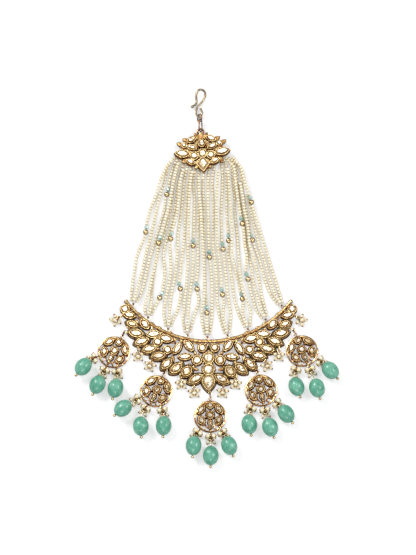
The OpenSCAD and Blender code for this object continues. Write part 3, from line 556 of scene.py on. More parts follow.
def gold_finish(name, low, high, bump=0.45, edge=1.1):
    """Worn gold between two heights, in metres, with patina and painted shade low down and in hollows, a
    painted highlight on sharp edges and painted shade towards the outline.
    """
    made, nodes, links, shader = finish_nodes(name)
    wear_and_painted_light = nodes.new("ShaderNodeGroup")
    wear_and_painted_light.node_tree = GOLD_WEAR_AND_PAINTED_LIGHT
    wear_and_painted_light.inputs["Low"].default_value = low
    wear_and_painted_light.inputs["High"].default_value = high
    wear_and_painted_light.inputs["Edge"].default_value = edge
    relief = put(nodes, "ShaderNodeBump", Strength=bump, Distance=0.0001, Height=wear_and_painted_light.outputs["Height"])
    # Painted shade: the colour turns dark brown where the surface faces away from the camera.
    away = put(nodes, "ShaderNodeLayerWeight", Blend=0.58)
    painted_outline_shade = put(nodes, "ShaderNodeMix", data_type="RGBA", Factor=away.outputs["Facing"])
    painted_outline_shade.inputs[7].default_value = (0.085, 0.028, 0.01, 1)
    links.new(wear_and_painted_light.outputs["Color"], painted_outline_shade.inputs[6])
    links.new(painted_outline_shade.outputs[2], shader.inputs["Base Color"])
    links.new(wear_and_painted_light.outputs["Roughness"], shader.inputs["Roughness"])
    links.new(relief.outputs["Normal"], shader.inputs["Normal"])
    shader.inputs["Metallic"].default_value = 1.0
    return made


setting_gold = gold_finish("setting gold", -0.0004, 0.0023)
settle(setting, "crescent_setting", setting_gold, ["crescent_plate"])

# Crescent: the stones
# Clear cut glass with foil behind it, one in each cup, held by the lip. Each has a flat table
# and two rows of facets. Its colour is painted reflection in patches of white, straw, brown and
# grey, with painted shade that makes the tilted facets darker and warmer than the table.
STONE_RISE = 0.75
STONE_SLACK = 0.03


def cut_stone(row, base, top):
    """A stone: girdle in the cup, two rows of facets and a table above the lip."""
    crown, table = (-STONE_SLACK - share * row[4] for share in (0.08, 0.17))
    return turned_up(row, 12, [(-STONE_SLACK, base + 0.12), (-STONE_SLACK, top),
                               (crown, top + 0.6 * STONE_RISE), (table, top + STONE_RISE)])


glass_with_painted_flashes, nodes, links, shader = finish_nodes("foil-backed glass with painted flashes")
# Painted reflection: patches of white, straw, brown and grey in the base colour.
patch = texture(nodes, "ShaderNodeTexVoronoi", Scale=1150.0)
split = put(nodes, "ShaderNodeSeparateColor", Color=patch.outputs["Color"])
painted_reflection = ramp(nodes, split.outputs["Red"], [
    (0.0, (0.95, 0.93, 0.87)), (0.22, (0.70, 0.54, 0.28)), (0.44, (0.98, 0.97, 0.92)),
    (0.62, (0.30, 0.19, 0.09)), (0.8, (0.74, 0.68, 0.54))], "CONSTANT")
# Painted shade: the more a facet tilts away from straight up, the darker and warmer it is.
facing = nodes.new("ShaderNodeNewGeometry")
tilt = put(nodes, "ShaderNodeSeparateXYZ", Vector=facing.outputs["True Normal"])
painted_facet_shade = ramp(nodes, tilt.outputs["Z"], [
    (0.55, (0.55, 0.36, 0.16)), (0.85, (0.86, 0.70, 0.44)), (0.98, (0.93, 0.90, 0.84))])
tinted = put(nodes, "ShaderNodeMix", data_type="RGBA", blend_type="MULTIPLY", Factor=1)
links.new(painted_reflection, tinted.inputs[6])
links.new(painted_facet_shade, tinted.inputs[7])
links.new(tinted.outputs[2], shader.inputs["Base Color"])
shader.inputs["Metallic"].default_value = 0.35
shader.inputs["Roughness"].default_value = 0.1
shader.inputs["Coat Weight"].default_value = 1.0
shader.inputs["Coat Roughness"].default_value = 0.02
settle(with_mirror(CRESCENT, cut_stone, PLATE, CUP_TOP), "crescent_gems", glass_with_painted_flashes,
       ["crescent_stones"], smooth=0)

# Pendants: the frames
# Five round frames of the same plated brass hang below the crescent. Each is a wire hoop, wider
# at the top, round a small flower of cups with scrolls and one gold ball at its foot.
PENDANT = [
    ("round", 0, 5.5, 2.4, 2.4, 0), ("leaf", 4.4, 3.45, 4.2, 2.2, -52), ("round", 0, 0.7, 3, 3, 0),
    ("leaf", 4.3, -1.9, 3.6, 2.4, 68), ("drop", 0, -3.6, 2.5, 1.3, 0)]
PENDANT_PLATE = 0.7
PENDANT_TOP = 2.2
BEADS = [
    [(-61.8, -2.6, -129), (-54.7, -11.5, -115), (-45.8, -13.3, -105)],
    [(-42, -23.3, -140), (-33.2, -32.1, -87), (-22, -31.9, -94)],
    [(-7.3, -41.7, -96), (1.1, -46.6, -92), (10.1, -41.7, -69)],
    [(20, -31.2, -80), (30.2, -32.6, -70), (38.1, -26, -55)],
    [(43.3, -12.5, -71), (53.4, -13.2, -75), (60.1, -4.4, -50)]]
BEAD_L = 9.6


def crescent_band():
    """The flat band at the top of a hoop: a strip between two circles, cut off below."""
    clear()
    bpy.ops.mesh.primitive_circle_add(vertices=72, radius=HOOP_R - 0.1)
    thing = bpy.context.object
    edit_all(thing)
    bpy.ops.mesh.extrude_edges_move(TRANSFORM_OT_translate={"value": (0, -1.1, 0)})
    bpy.ops.transform.resize(value=(0.95, 0.95, 1), center_override=(0, -1.1, 0))
    bpy.ops.mesh.select_all(action="SELECT")
    bpy.ops.mesh.bisect(plane_co=(0, -1.6, 0), plane_no=(0, 1, 0), clear_inner=True)
    bpy.ops.mesh.select_mode(type="FACE")
    bpy.ops.mesh.select_all(action="SELECT")
    bpy.ops.mesh.extrude_region_move(TRANSFORM_OT_translate={"value": (0, 0, 1.1)})
    bpy.ops.mesh.select_all(action="SELECT")
    bpy.ops.mesh.normals_make_consistent(inside=False)
    clear()
    return thing


def hoop_frame():
    """One frame in its own place about the origin."""
    parts = with_mirror(PENDANT, lambda row: cup(row, 0, PENDANT_PLATE, PENDANT_TOP))
    parts.append(wire(arc(0, 0, HOOP_R - 0.42, 0, 360, 0.95, 72), 0.42))
    parts.append(wire(arc(0, -1.1, HOOP_R - 0.65, 12, 168, 1.2, 40), 0.34))
    parts.append(crescent_band())
    for side in (-1, 1):
        for a, b, width in (((1.6, -0.6), (3.6, -1.6), 1.2), ((2.4, 5.2), (1, 5.6), 1),
                            ((5.9, 1.4), (7.4, 1.2), 1)):
            parts.append(bar((side * a[0], a[1]), (side * b[0], b[1]), width, 0, 1))
        for x, y, curl, end, steps, thick in ((3.2, -5.2, 1.25, 330, 20, 0.5),
                                              (5.6, -3.6, 1.0, 300, 16, 0.42)):
            taper = [thick - 0.012 * k for k in range(steps + 1)]
            parts.append(wire(arc(side * x, y, curl, 0, end, 0.9, steps), taper))
        for x, y, z, radius in ((1.2, -5.5, 1.1, 0.55), (4.6, -5.6, 1.0, 0.55), (2.3, 2.9, 1.1, 0.6),
                                (2.6, -3.3, 1.1, 0.55)):
            parts.append(grain(side * x, y, z, radius))
    parts += grain_circle(0, 0.7, 2.35, 12, 1.5, 0.36)
    parts.append(bar((0, 6), (0, 7.6), 1.4, 0, 1.2))
    parts.append(bar((0, -7.6), (0, -3.8), 1, 0, 1.2))
    parts.append(grain(0, -6.1, 1.1, 0.85))
    parts.append(ring(0, DROP_EYE, EYE_Z, *EYE))
    return joined(parts)


def drop_angle(pendant, bead):
    """Direction from a pendant's middle to the near end of one of its beads."""
    x, y, along = bead
    near = turned((-BEAD_L / 2, 0), along)
    return math.degrees(math.atan2(y + near[1] - pendant[1], x + near[0] - pendant[0]))


def drop_hole(pendant, bead):
    """The small ring on a pendant's hoop that one bead hangs from."""
    way = turned((DROP_EYE, 0), drop_angle(pendant, bead))
    return (pendant[0] + way[0], pendant[1] + way[1])


hoop = hoop_frame()
gems = joined(with_mirror(PENDANT, cut_stone, PENDANT_PLATE, PENDANT_TOP))
pendant_gold = gold_finish("pendant gold", 0.0002, 0.0026)
for number, (x, y, turn) in enumerate(PENDANTS, 1):
    parts = [copy_of(hoop, x, y, turn)]
    for bead in BEADS[number - 1]:
        parts.append(ring(*drop_hole((x, y), bead), EYE_Z, *EYE))
    settle(parts, f"pendant_hoop_{number}", pendant_gold, [f"pendant_frame_{number}"])
    settle([copy_of(gems, x, y, turn)], f"pendant_gems_{number}", glass_with_painted_flashes,
           [f"pendant_stones_{number}"], smooth=0)
bpy.data.objects.remove(hoop)
bpy.data.objects.remove(gems)

# Jump rings, pins and links
# Small rings of darkened wire join the pieces. The pins run through the green beads, with a loop
# at the top and a ball below. They keep the shapes that they have in the frame.
# The dark wire is dark brown all over from the gold's colouring at low heights, with stains and painted
# shade in its hollows.
dark_metal, nodes, links, shader = finish_nodes("dark wire")
wear_and_painted_light = nodes.new("ShaderNodeGroup")
wear_and_painted_light.node_tree = GOLD_WEAR_AND_PAINTED_LIGHT
wear_and_painted_light.inputs["Low"].default_value = -0.002
wear_and_painted_light.inputs["High"].default_value = 0.009
wear_and_painted_light.inputs["Edge"].default_value = 0.0
links.new(wear_and_painted_light.outputs["Color"], shader.inputs["Base Color"])
links.new(wear_and_painted_light.outputs["Roughness"], shader.inputs["Roughness"])
shader.inputs["Metallic"].default_value = 1.0
painted_glint_ball_gold, nodes, links, shader = finish_nodes("ball gold with painted glint and shade")
# Painted highlight and shade: the balls are bright where they face the camera and dark brown towards
# their outline.
away = put(nodes, "ShaderNodeLayerWeight", Blend=0.5)
tone = ramp(nodes, away.outputs["Facing"], [
    (0.05, (0.85, 0.66, 0.36)), (0.4, (0.44, 0.30, 0.13)), (0.8, (0.14, 0.08, 0.035))])
links.new(tone, shader.inputs["Base Color"])
shader.inputs["Metallic"].default_value = 1.0
shader.inputs["Roughness"].default_value = 0.2


def dress(node, finish):
    """Gives a node of the frame its finish."""
    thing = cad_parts[node]
    thing.data.materials.clear()
    thing.data.materials.append(finish)


for node in ["hook_links"] + [f"pendant_link_{k}" for k in range(1, 6)]:
    dress(node, dark_metal)
for number in range(1, 6):
    dress(f"pins_{number}", painted_glint_ball_gold)

# Pearl clusters
# Bunches of small imitation pearls crowd every hanging ring. Each pearl sits on its own short
# head pin with a gold tip, and the pins share one upright ring of gold wire. The wire has patina
# and stains like the setting's gold, painted shade in its hollows and a painted highlight on its
# edges, and the pearls have painted shade where they touch.
LEAN_UP = math.radians(32)
CARRY_R = 1.35
CARRY_OUT = CARRY_R * math.cos(LEAN_UP)
CARRY_Z = EYE_Z + CARRY_R * math.sin(LEAN_UP)
# along, aside, height, width
DROP_PEARLS = [
    (1.7, 1.25, 1.2, 2.1), (1.7, -1.25, 1.2, 2.1), (0.9, 1.35, 3.4, 2.1), (0.9, -1.35, 3.4, 2.1),
    (3.8, 1.3, 1.05, 1.9), (3.8, -1.3, 1.05, 1.9)]
EDGE_PEARLS = [
    (1.2, 1.7, 1.2, 2.1), (1.2, -1.7, 1.2, 2.1), (3.5, 1.2, 1.2, 2.1), (3.5, -1.3, 1.3, 2.1),
    (2.6, 0, 3.1, 2.1)]


def rod(a, b, radius, sides=8):
    """A straight round rod between two points."""
    a, b = Vector(a), Vector(b)
    clear()
    bpy.ops.mesh.primitive_cylinder_add(vertices=sides, radius=radius, depth=(b - a).length,
                                        location=(a + b) / 2,
                                        rotation=(b - a).to_track_quat("Z", "Y").to_euler())
    return bpy.context.object


def bunch(spots):
    """The pearls and the metal of one cluster, with the ring's hole at the origin and +X outwards."""
    upright = (math.pi / 2, 0, 0)
    pearls = []
    metal = [ring(CARRY_OUT, 0, CARRY_Z, CARRY_R + JUMP_WIRE, CARRY_R - JUMP_WIRE, upright)]
    for *spot, size in spots:
        spot = Vector(spot)
        lean = Vector((spot.x - CARRY_OUT + 0.1, 0, spot.z - CARRY_Z)).normalized()
        start = Vector((CARRY_OUT, 0, CARRY_Z)) + CARRY_R * lean
        way = (spot - start).normalized()
        along = way.to_track_quat("Z", "Y").to_euler()
        clear()
        bpy.ops.mesh.primitive_uv_sphere_add(segments=20, ring_count=12, radius=size / 2, location=spot,
                                             rotation=along)
        pearl = bpy.context.object
        edit_all(pearl)
        bpy.ops.transform.resize(value=(0.97, 0.97, 0.99))
        clear()
        pearls.append(pearl)
        metal.append(rod(start, spot, 0.16))
        metal.append(grain(*(spot + way * (size / 2 + 0.1)), 0.42))
        for end in (way, -way):
            metal.append(ring(*(spot + end * (size / 2 - 0.08)), 0.62, 0.22, along, 12))
    return joined(pearls), joined(metal)


def pearl_coat_and_shade_group():
    """Pearl coating: cream, with painted shade that makes it warmer and darker in the hollows between
    neighbours, and faint clouds.
    """
    group = bpy.data.node_groups.new("pearl coat and painted shade", "ShaderNodeTree")
    face = group.interface
    face.new_socket("Tone", in_out="INPUT", socket_type="NodeSocketFloat")
    face.new_socket("Color", in_out="OUTPUT", socket_type="NodeSocketColor")
    n = group.nodes
    given = n.new("NodeGroupInput")
    given_out = n.new("NodeGroupOutput")
    cloud = texture(n, "ShaderNodeTexNoise", Scale=330.0, Detail=2.0)
    # Painted shade: occlusion warms and darkens each pearl where its neighbours crowd it.
    hollow = put(n, "ShaderNodeAmbientOcclusion", Distance=0.0014, samples=8)
    shaded = calc(n, "ADD", hollow.outputs["AO"], given.outputs["Tone"])
    cloudy = calc(n, "MULTIPLY_ADD", cloud.outputs["Fac"], 0.25, -0.125)
    tone = ramp(n, calc(n, "ADD", shaded, cloudy, clamp=True), [
        (0.1, (0.42, 0.25, 0.08)), (0.42, (0.79, 0.62, 0.31)), (0.72, (0.90, 0.81, 0.56)),
        (1.0, (0.94, 0.89, 0.74))])
    group.links.new(tone, given_out.inputs["Color"])
    return group


PEARL_COAT_AND_SHADE = pearl_coat_and_shade_group()


def pearl_finish(name, tone_from=None):
    """Glossy pearl; the tone of each pearl may come from an attribute of its mesh."""
    made, nodes, links, shader = finish_nodes(name)
    coat = nodes.new("ShaderNodeGroup")
    coat.node_tree = PEARL_COAT_AND_SHADE
    coat.inputs["Tone"].default_value = -0.24
    if tone_from:
        tone = put(nodes, "ShaderNodeAttribute", attribute_name=tone_from)
        links.new(tone.outputs["Fac"], coat.inputs["Tone"])
    links.new(coat.outputs["Color"], shader.inputs["Base Color"])
    shader.inputs["Roughness"].default_value = 0.25
    shader.inputs["Coat Weight"].default_value = 1.0
    shader.inputs["Coat Roughness"].default_value = 0.1
    return made


loose_pearl = pearl_finish("loose pearl")
tip_gold = gold_finish("tip gold", -0.001, 0.0045, 0.1, 0.4)
drop_model, edge_model = bunch(DROP_PEARLS), bunch(EDGE_PEARLS)


def hang_up(kind, name, node, model, places):
    """Copies of one cluster at several places, as one piece of pearls and one of rings."""
    pearls, metal = [[copy_of(part, *place) for place in places] for part in model]
    settle(pearls, f"{kind}_pearls_{name}", loose_pearl, [node], smooth=60)
    settle(metal, f"{kind}_rings_{name}", tip_gold, [node])


for number, (x, y, turn) in enumerate(PENDANTS, 1):
    places = [(*drop_hole((x, y), bead), drop_angle((x, y), bead)) for bead in BEADS[number - 1]]
    hang_up("drop", number, f"clusters_{number}", drop_model, places)
for side, name in ((-1, "left"), (1, "right")):
    places = [(side * x, y, hang if side > 0 else 180 - hang) for x, y, hang in EDGE]
    hang_up("edge", name, f"edge_clusters_{name}", edge_model, places)
for spare in drop_model + edge_model:
    bpy.data.objects.remove(spare)

# Green beads
# Fifteen smooth oval beads of cloudy green stone, drilled end to end and polished.
# They keep the shape that they have in the frame.
green, nodes, links, shader = finish_nodes("green stone")
mottled(nodes, links, shader, [
    (0.3, (0.075, 0.29, 0.20)), (0.5, (0.13, 0.41, 0.29)), (0.66, (0.22, 0.52, 0.39)),
    (0.8, (0.42, 0.68, 0.57))], Scale=170.0, Detail=5.0, Roughness=0.6, Distortion=1.4)
shader.inputs["Roughness"].default_value = 0.3
shader.inputs["Coat Weight"].default_value = 0.3
shader.inputs["Coat Roughness"].default_value = 0.15
shader.inputs["Subsurface Weight"].default_value = 0.25
shader.inputs["Subsurface Radius"].default_value = (0.4, 1.0, 0.7)
shader.inputs["Subsurface Scale"].default_value = 0.002
for number in range(1, 6):
    for letter in "abc":
        dress(f"green_bead_{number}{letter}", green)

# Strings of seed pearls
# Nine bundles of three strands hang between the crown and the rail. Each strand is some fifty
# flattened seed pearls on a thread; the outer two strands are one thread through the rail's ring.
STRING_D = 2.0
LO = STRING_D / 2 + 0.06
HI = LO + STRING_D + 0.15
MID = (LO + HI) / 2
THREAD_R = 0.15
GOLD_D = 2.7
AQUA_D = 2.2
PITCH = 1.58
CROWN_X = -3.1
CROWN_EDGE = 98.5
OUTER_STRANDS = 9
STRING_GAP = 0.12
# x, y, the height where it changes, and 1 where bare thread with an accent pair runs to the next point
STRANDS = [
    [[[-18.3, 102.9, HI], [-20.4, 100.9], [-22.2, 97.6], [-24.6, 91.5], [-27, 84, LO], [-29.5, 77],
      [-31, 71], [-31.2, 68.8, LO, 1], [-31.5, 66.2], [-34, 59], [-36, 53], [-37, 46], [-38, 39],
      [-38.4, 34]],
     [[-20.1, 101], [-22.4, 92], [-24.5, 85], [-26, 78], [-28.5, 66], [-31.5, 54], [-33.5, 44],
      [-35, 38.5, MID], [-36, 34.5, HI]],
     [[-17.8, 100], [-19.8, 92], [-20.2, 88.2, LO, 1], [-21, 85.7], [-22.4, 77], [-25.5, 66],
      [-27.5, 59], [-29.2, 53.5], [-30.5, 48], [-31.4, 43], [-32.6, 38], [-34.3, 33.5]]],
    [[[-15.2, 101.8, HI], [-16, 99], [-17.6, 92], [-20.1, 78], [-21.8, 72], [-24.2, 62.9, HI, 1],
      [-25, 60.2], [-25.6, 53.5], [-26.9, 48], [-28, 43], [-29.3, 36.5], [-31.2, 30.5, MID],
      [-31.6, 26, LO]],
     [[-15, 101], [-17.4, 92], [-19.2, 78], [-22, 66], [-24.4, 59], [-25.9, 53.5], [-27.5, 43],
      [-28.2, 36.5], [-28.5, 31], [-28.9, 26.5, HI]],
     [[-12.8, 101], [-15.1, 92], [-16.9, 78], [-19.6, 66], [-21.9, 59], [-22.5, 53.5], [-21.8, 45],
      [-22.7, 37], [-23.2, 34.9, LO, 1], [-24.3, 32.6], [-25.6, 29.8], [-27.6, 26]]],
    [[[-12.5, 98.5, HI], [-14.3, 92], [-15.4, 78], [-16.7, 72], [-18.4, 64.9, HI, 1], [-18.9, 62.3],
      [-19.3, 57, LO], [-18.9, 50.5], [-19, 44], [-20.2, 37.5], [-21.5, 31], [-22.3, 25.5],
      [-21.6, 20.5]],
     [[-10.6, 101], [-12.4, 92], [-13.6, 78], [-15.2, 66], [-15.4, 59.5], [-15.9, 51], [-16.8, 43],
      [-18, 37], [-18.9, 31], [-19.4, 25.5, MID], [-19.6, 20.5, HI]],
     [[-8.4, 101], [-10.1, 92], [-11.3, 78], [-12.2, 63], [-13, 56], [-14.4, 42.5],
      [-14.7, 39.7, LO, 1], [-14.1, 37.2], [-14.3, 31], [-15.6, 25.5], [-18, 20.5]]],
    [[[-8, 97.5, HI], [-9.1, 92], [-9.8, 78], [-10, 66], [-10.3, 59, LO], [-10.3, 48.5], [-11.1, 38],
      [-12, 31], [-12.3, 25.5], [-12.6, 20.5]],
     [[-6.2, 101], [-7.8, 92], [-7.1, 84.5], [-7.1, 78], [-7.5, 66], [-7.7, 61.8, LO, 1], [-7.7, 59.2],
      [-7.7, 50], [-8.1, 43.5], [-8.8, 37.5], [-9.7, 31], [-10, 25.5, MID], [-10.3, 20, HI]],
     [[-4, 101], [-5.5, 92], [-4.8, 84], [-5.2, 66], [-5.2, 49], [-5.7, 43], [-6, 39.5, LO, 1],
      [-5.7, 37], [-4.8, 31], [-6.4, 25.5], [-8.1, 20]]],
    [[[-4.7, 94.5, HI], [-4.6, 85], [-3.9, 78], [-3.3, 66], [-2.5, 54], [-2, 38.5], [-2.4, 31],
      [-3.4, 25.5, LO], [-3.1, 20]],
     [[-1.6, 101], [-2.8, 92], [-2.4, 78], [-2.1, 59], [-1.8, 49], [-1.6, 37], [-0.9, 27.6, LO, 1],
      [-0.8, 25], [-0.8, 20, MID]],
     [[0.7, 101], [-0.3, 92], [0, 66], [0.3, 55.9, LO, 1], [0.5, 53.3], [1, 49], [1.8, 37], [1.7, 25],
      [1.4, 20]]],
    [[[3, 101], [2, 92], [2.5, 78], [2.3, 59], [3, 53.5], [4, 43], [4.3, 31], [5, 26], [5.8, 22]],
     [[5, 98, HI], [4.5, 92], [4.1, 78], [4.2, 66], [4.6, 59, LO], [5.3, 53.5], [6.4, 42.7],
      [6.5, 36.7, LO, 1], [7, 34.2], [7.6, 30.5], [7.4, 26, MID], [7.3, 22, HI]],
     [[6.6, 101], [7, 92], [6.4, 78], [6.5, 67], [6.9, 60, LO, 1], [7.3, 57.4], [7.7, 53.5], [8.8, 43],
      [9.4, 36], [10.1, 30.5], [10.9, 26], [11, 22]]],
    [[[8.8, 101], [9.2, 92], [9.2, 78], [9.8, 67], [9.9, 64.4, LO, 1], [10.1, 61.8], [9.9, 55],
      [10.7, 48], [11.5, 43], [12.3, 36], [13.2, 30.5], [14.5, 26], [16, 22]],
     [[9.6, 99, HI], [10.3, 92], [11.1, 78], [11.9, 66], [11.6, 57], [12.8, 49, LO], [14.4, 43],
      [15.7, 36.5], [16.4, 34.4, LO, 1], [16.9, 32], [16.9, 26, MID], [17.6, 22, HI]],
     [[11.4, 101], [12.4, 92], [13.1, 84], [13.1, 78], [14.2, 66], [14.8, 57], [15.4, 50],
      [15.9, 43, HI], [17.2, 36], [18.9, 31.5], [20.8, 26, LO], [20.9, 22]]],
    [[[11.3, 101.6, HI], [13, 98.6], [13.6, 92], [15.3, 79], [16.3, 72.7, HI, 1], [16.9, 70.1],
      [17.6, 66], [18.1, 59], [19, 53.5], [18.8, 48, LO], [18.9, 44.6, LO, 1], [19.7, 42.1], [21, 36],
      [22.6, 30.5], [24, 26]],
     [[13.8, 100], [14.6, 92], [15.5, 84], [16.6, 78], [17.7, 72], [18.6, 66], [19.5, 59], [21.4, 48],
      [22, 43], [23.4, 36], [25.1, 30.5, MID], [26.3, 26, HI]],
     [[15.9, 91.5, HI], [17.2, 84], [17.9, 78], [19.1, 72], [20, 66], [20.6, 59], [22.6, 53.5],
      [23.8, 48, LO], [25, 43], [26.1, 36], [27.2, 30.5], [28.4, 26]]],
    [[[16.2, 99], [16.8, 92], [17.8, 84], [18.9, 78], [20.2, 72], [21.2, 64.6, LO, 1], [22, 62.1],
      [23, 59], [24.9, 53.5], [26.6, 48], [27.8, 43], [30, 36.5], [32.2, 32.5]],
     [[19.7, 86], [21.2, 78], [22.5, 72], [25.4, 59], [27.4, 53.5], [29, 48], [30.3, 43],
      [32.3, 36.5, MID], [34, 32.5, HI]],
     [[13.9, 102.4, HI], [16.2, 99.4], [18.2, 92.5], [19.4, 88], [20.9, 83.7, HI, 1], [21.6, 81.2],
      [22.7, 77], [24.2, 72], [25.9, 66.5, LO], [27.5, 61.5], [30.3, 52], [31.7, 47], [33.4, 41.5],
      [35, 36], [36, 32.5]]]]


def with_heights(strand):
    """The strand with a height for every point: the last one given, and LO before that."""
    made, height = [], LO
    for point in strand:
        height = point[2] if len(point) > 2 else height
        made.append([*point[:2], height, *point[3:]])
    return made


def run_under(strand):
    """A lower strand that reaches the crown runs on under it, the outer ones drawn further inwards."""
    x, y, z = strand[0][:3]
    if y <= CROWN_EDGE or z != LO:
        return strand
    out = x - CROWN_X
    inwards, top = (0.8, 105.4) if abs(out) > OUTER_STRANDS else (0.93, 104.4)
    return [[CROWN_X + inwards * out, top, LO]] + strand


def spread(strand):
    """The strand's points, its bare stretches lengthened past the accent beads, with a bare flag."""
    made = []
    for k, point in enumerate(strand):
        head = len(point) > 3
        tail = k > 0 and len(strand[k - 1]) > 3
        place = Vector(point[:3])
        if head:
            place -= (AQUA_D / 2 + STRING_GAP) * (Vector(strand[k + 1][:3]) - place).normalized()
        elif tail:
            place += (GOLD_D / 2 + STRING_GAP) * (place - Vector(strand[k - 1][:3])).normalized()
        made.append((place, head))
    return made


def smooth(a, b, c, d, t):
    """A point between b and c of a smooth curve through four neighbours."""
    return (2 * b + (c - a) * t + (2 * a - 5 * b + 4 * c - d) * t * t
            + (3 * b - a - 3 * c + d) * t ** 3) / 2


def near_tie(number, along, aside, z):
    """A point beside the rail's ring of one bundle."""
    angle, way = TIES[number]
    x, y = on_rail(TIE_R, angle)
    c, s = math.cos(math.radians(way)), math.sin(math.radians(way))
    return Vector((x + along * c + aside * s, y + along * s - aside * c, z))


def runs(points):
    """The beaded runs of a strand as lists of close points, and its bare stretches as pairs."""
    beaded, bare, run = [], [], []
    for k in range(len(points) - 1):
        b, c = points[k][0], points[k + 1][0]
        if points[k][1]:
            if run:
                beaded.append(run)
            run = []
            bare.append((b, c))
            continue
        a, d = points[max(k - 1, 0)][0], points[min(k + 2, len(points) - 1)][0]
        for step in range(13):
            at = smooth(a, b, c, d, step / 12)
            at.z = max(at.z, min(b.z, c.z))
            if not run or (at - run[-1]).length > 1e-4:
                run.append(at)
    if run:
        beaded.append(run)
    return beaded, bare


def bead_places(run):
    """Centres and directions of the pearls on one run, close together from end to end."""
    line = np.array([tuple(p) for p in run])
    reach = np.concatenate([[0], np.cumsum(np.linalg.norm(np.diff(line, axis=0), axis=1))])
    count = max(1, round(reach[-1] / PITCH))
    at = (np.arange(count) + 0.5) * reach[-1] / count
    centre, ahead, behind = (
        np.stack([np.interp(at + shift, reach, line[:, k]) for k in range(3)], axis=1)
        for shift in (0, 0.3, -0.3))
    return centre, ahead - behind, reach[-1] / count


def seed_pearl():
    """One seed pearl: a ball, flattened along its hole."""
    clear()
    bpy.ops.mesh.primitive_uv_sphere_add(segments=10, ring_count=6, radius=STRING_D / 2)
    thing = bpy.context.object
    edit_all(thing)
    bpy.ops.transform.resize(value=(1, 1, 0.8), center_override=(0, 0, 0))
    clear()
    return thing


def beaded_mesh(name, centres, ways, sizes, tones, model):
    """One mesh of many copies of a model, each turned along the thread, with a tone for each."""
    corners = np.array([tuple(v.co) for v in model.data.vertices])
    faces = [list(p.vertices) for p in model.data.polygons]
    count, each = len(centres), len(corners)
    up = np.array([0.0, 0.0, 1.0])
    ways = ways / np.linalg.norm(ways, axis=1, keepdims=True)
    across = np.cross(ways, up)
    across /= np.linalg.norm(across, axis=1, keepdims=True)
    over = np.cross(across, ways)
    spots = (corners[None, :, 0, None] * across[:, None] * sizes[:, None, None, 0]
             + corners[None, :, 1, None] * over[:, None] * sizes[:, None, None, 0]
             + corners[None, :, 2, None] * ways[:, None] * sizes[:, None, None, 1]
             + centres[:, None])
    mesh = bpy.data.meshes.new(name)
    mesh.from_pydata(spots.reshape(-1, 3).tolist(), [],
                     [[v + k * each for v in f] for k in range(count) for f in faces])
    tone = mesh.attributes.new("tone", "FLOAT", "POINT")
    tone.data.foreach_set("value", np.repeat(tones, each).astype(np.float32))
    thing = bpy.data.objects.new(name, mesh)
    scene.collection.objects.link(thing)
    return thing


rng = np.random.default_rng(7)
seed = seed_pearl()
seed_finish = pearl_finish("seed pearl", "tone")
threads, knots, pairs = [], [], []
for number, bundle in enumerate(STRANDS):
    half = STRING_D / 2 + 0.08
    ends = [near_tie(number, 2, -half, LO), near_tie(number, 2, 0, HI), near_tie(number, 2, half, LO)]
    centres, ways, lengths = [], [], []
    for strand, end in zip(bundle, ends):
        strand = run_under(with_heights(strand))
        beaded, bare = runs(spread(strand) + [(end, False)])
        for run in beaded:
            centre, way, length = bead_places(run)
            centres.append(centre)
            ways.append(way)
            lengths.append(np.full(len(centre), length / PITCH))
        for a, b in bare:
            threads.append(wire([a, b], THREAD_R, 6))
        pairs += [(Vector(p[:3]), Vector(q[:3])) for p, q in zip(strand, strand[1:]) if len(p) > 3]
    centres, ways, lengths = np.concatenate(centres), np.concatenate(ways), np.concatenate(lengths)
    count = len(centres)
    sizes = np.stack([rng.uniform(0.95, 1.0, count), lengths * rng.uniform(0.97, 1.0, count)], axis=1)
    pearls = beaded_mesh("pearls", centres, ways, sizes, rng.uniform(-0.14, 0.06, count), seed)
    settle([pearls], f"seed_pearls_{number + 1}", seed_finish, [f"strings_{number + 1}"],
           smooth=75)
    over, under = 1.7 + THREAD_R + STRING_GAP, 1.2 - THREAD_R - STRING_GAP
    through = [(2.2, -half, LO), (0.95, -0.3, over), (0.1, 0, over), (-0.1, 0, under), (0.95, 0.3, under),
               (2.2, half, LO)]
    threads.append(wire([near_tie(number, *spot) for spot in through], THREAD_R, 6))
    middle = [(2.2, 0, HI), (1.0, 0, over + 0.2)]
    threads.append(wire([near_tie(number, *spot) for spot in middle], THREAD_R, 6))
    knot = grain(*near_tie(number, 0.85, 0, over), 0.5)
    knot.scale = (1, 1, 0.7)
    knots.append(knot)
bpy.data.objects.remove(seed)

cotton, nodes, links, shader = finish_nodes("cotton thread")
mottled(nodes, links, shader, [(0.3, (0.55, 0.48, 0.36)), (0.7, (0.82, 0.77, 0.66))],
        Scale=2500.0, Detail=2.0)
shader.inputs["Roughness"].default_value = 0.8
settle(threads, "threads", cotton)
settle(knots, "thread_knots", dark_metal)

# Accent pairs
# Here and there a strand has a gap in its pearls with one aqua crystal above one gold ball.
# The crystals are cut in eight sides. The balls keep the shape that they have in the frame.
dress("accent_gold", painted_glint_ball_gold)
aqua, nodes, links, shader = finish_nodes("aqua glass")
patch = texture(nodes, "ShaderNodeTexVoronoi", Scale=1100.0)
split = put(nodes, "ShaderNodeSeparateColor", Color=patch.outputs["Color"])
tone = ramp(nodes, split.outputs["Red"], [
    (0.1, (0.30, 0.58, 0.46)), (0.5, (0.50, 0.76, 0.66)), (0.9, (0.80, 0.92, 0.87))])
links.new(tone, shader.inputs["Base Color"])
shader.inputs["Roughness"].default_value = 0.08
shader.inputs["Transmission Weight"].default_value = 0.35
shader.inputs["Coat Weight"].default_value = 0.8
crystals = []
for upper, lower in pairs:
    way = (lower - upper).normalized()
    place = Vector((upper.x, upper.y, max(upper.z, AQUA_D / 2 + 0.02)))
    clear()
    bpy.ops.mesh.primitive_uv_sphere_add(segments=8, ring_count=5, radius=AQUA_D / 2, location=place,
                                         rotation=way.to_track_quat("Z", "Y").to_euler())
    crystals.append(bpy.context.object)
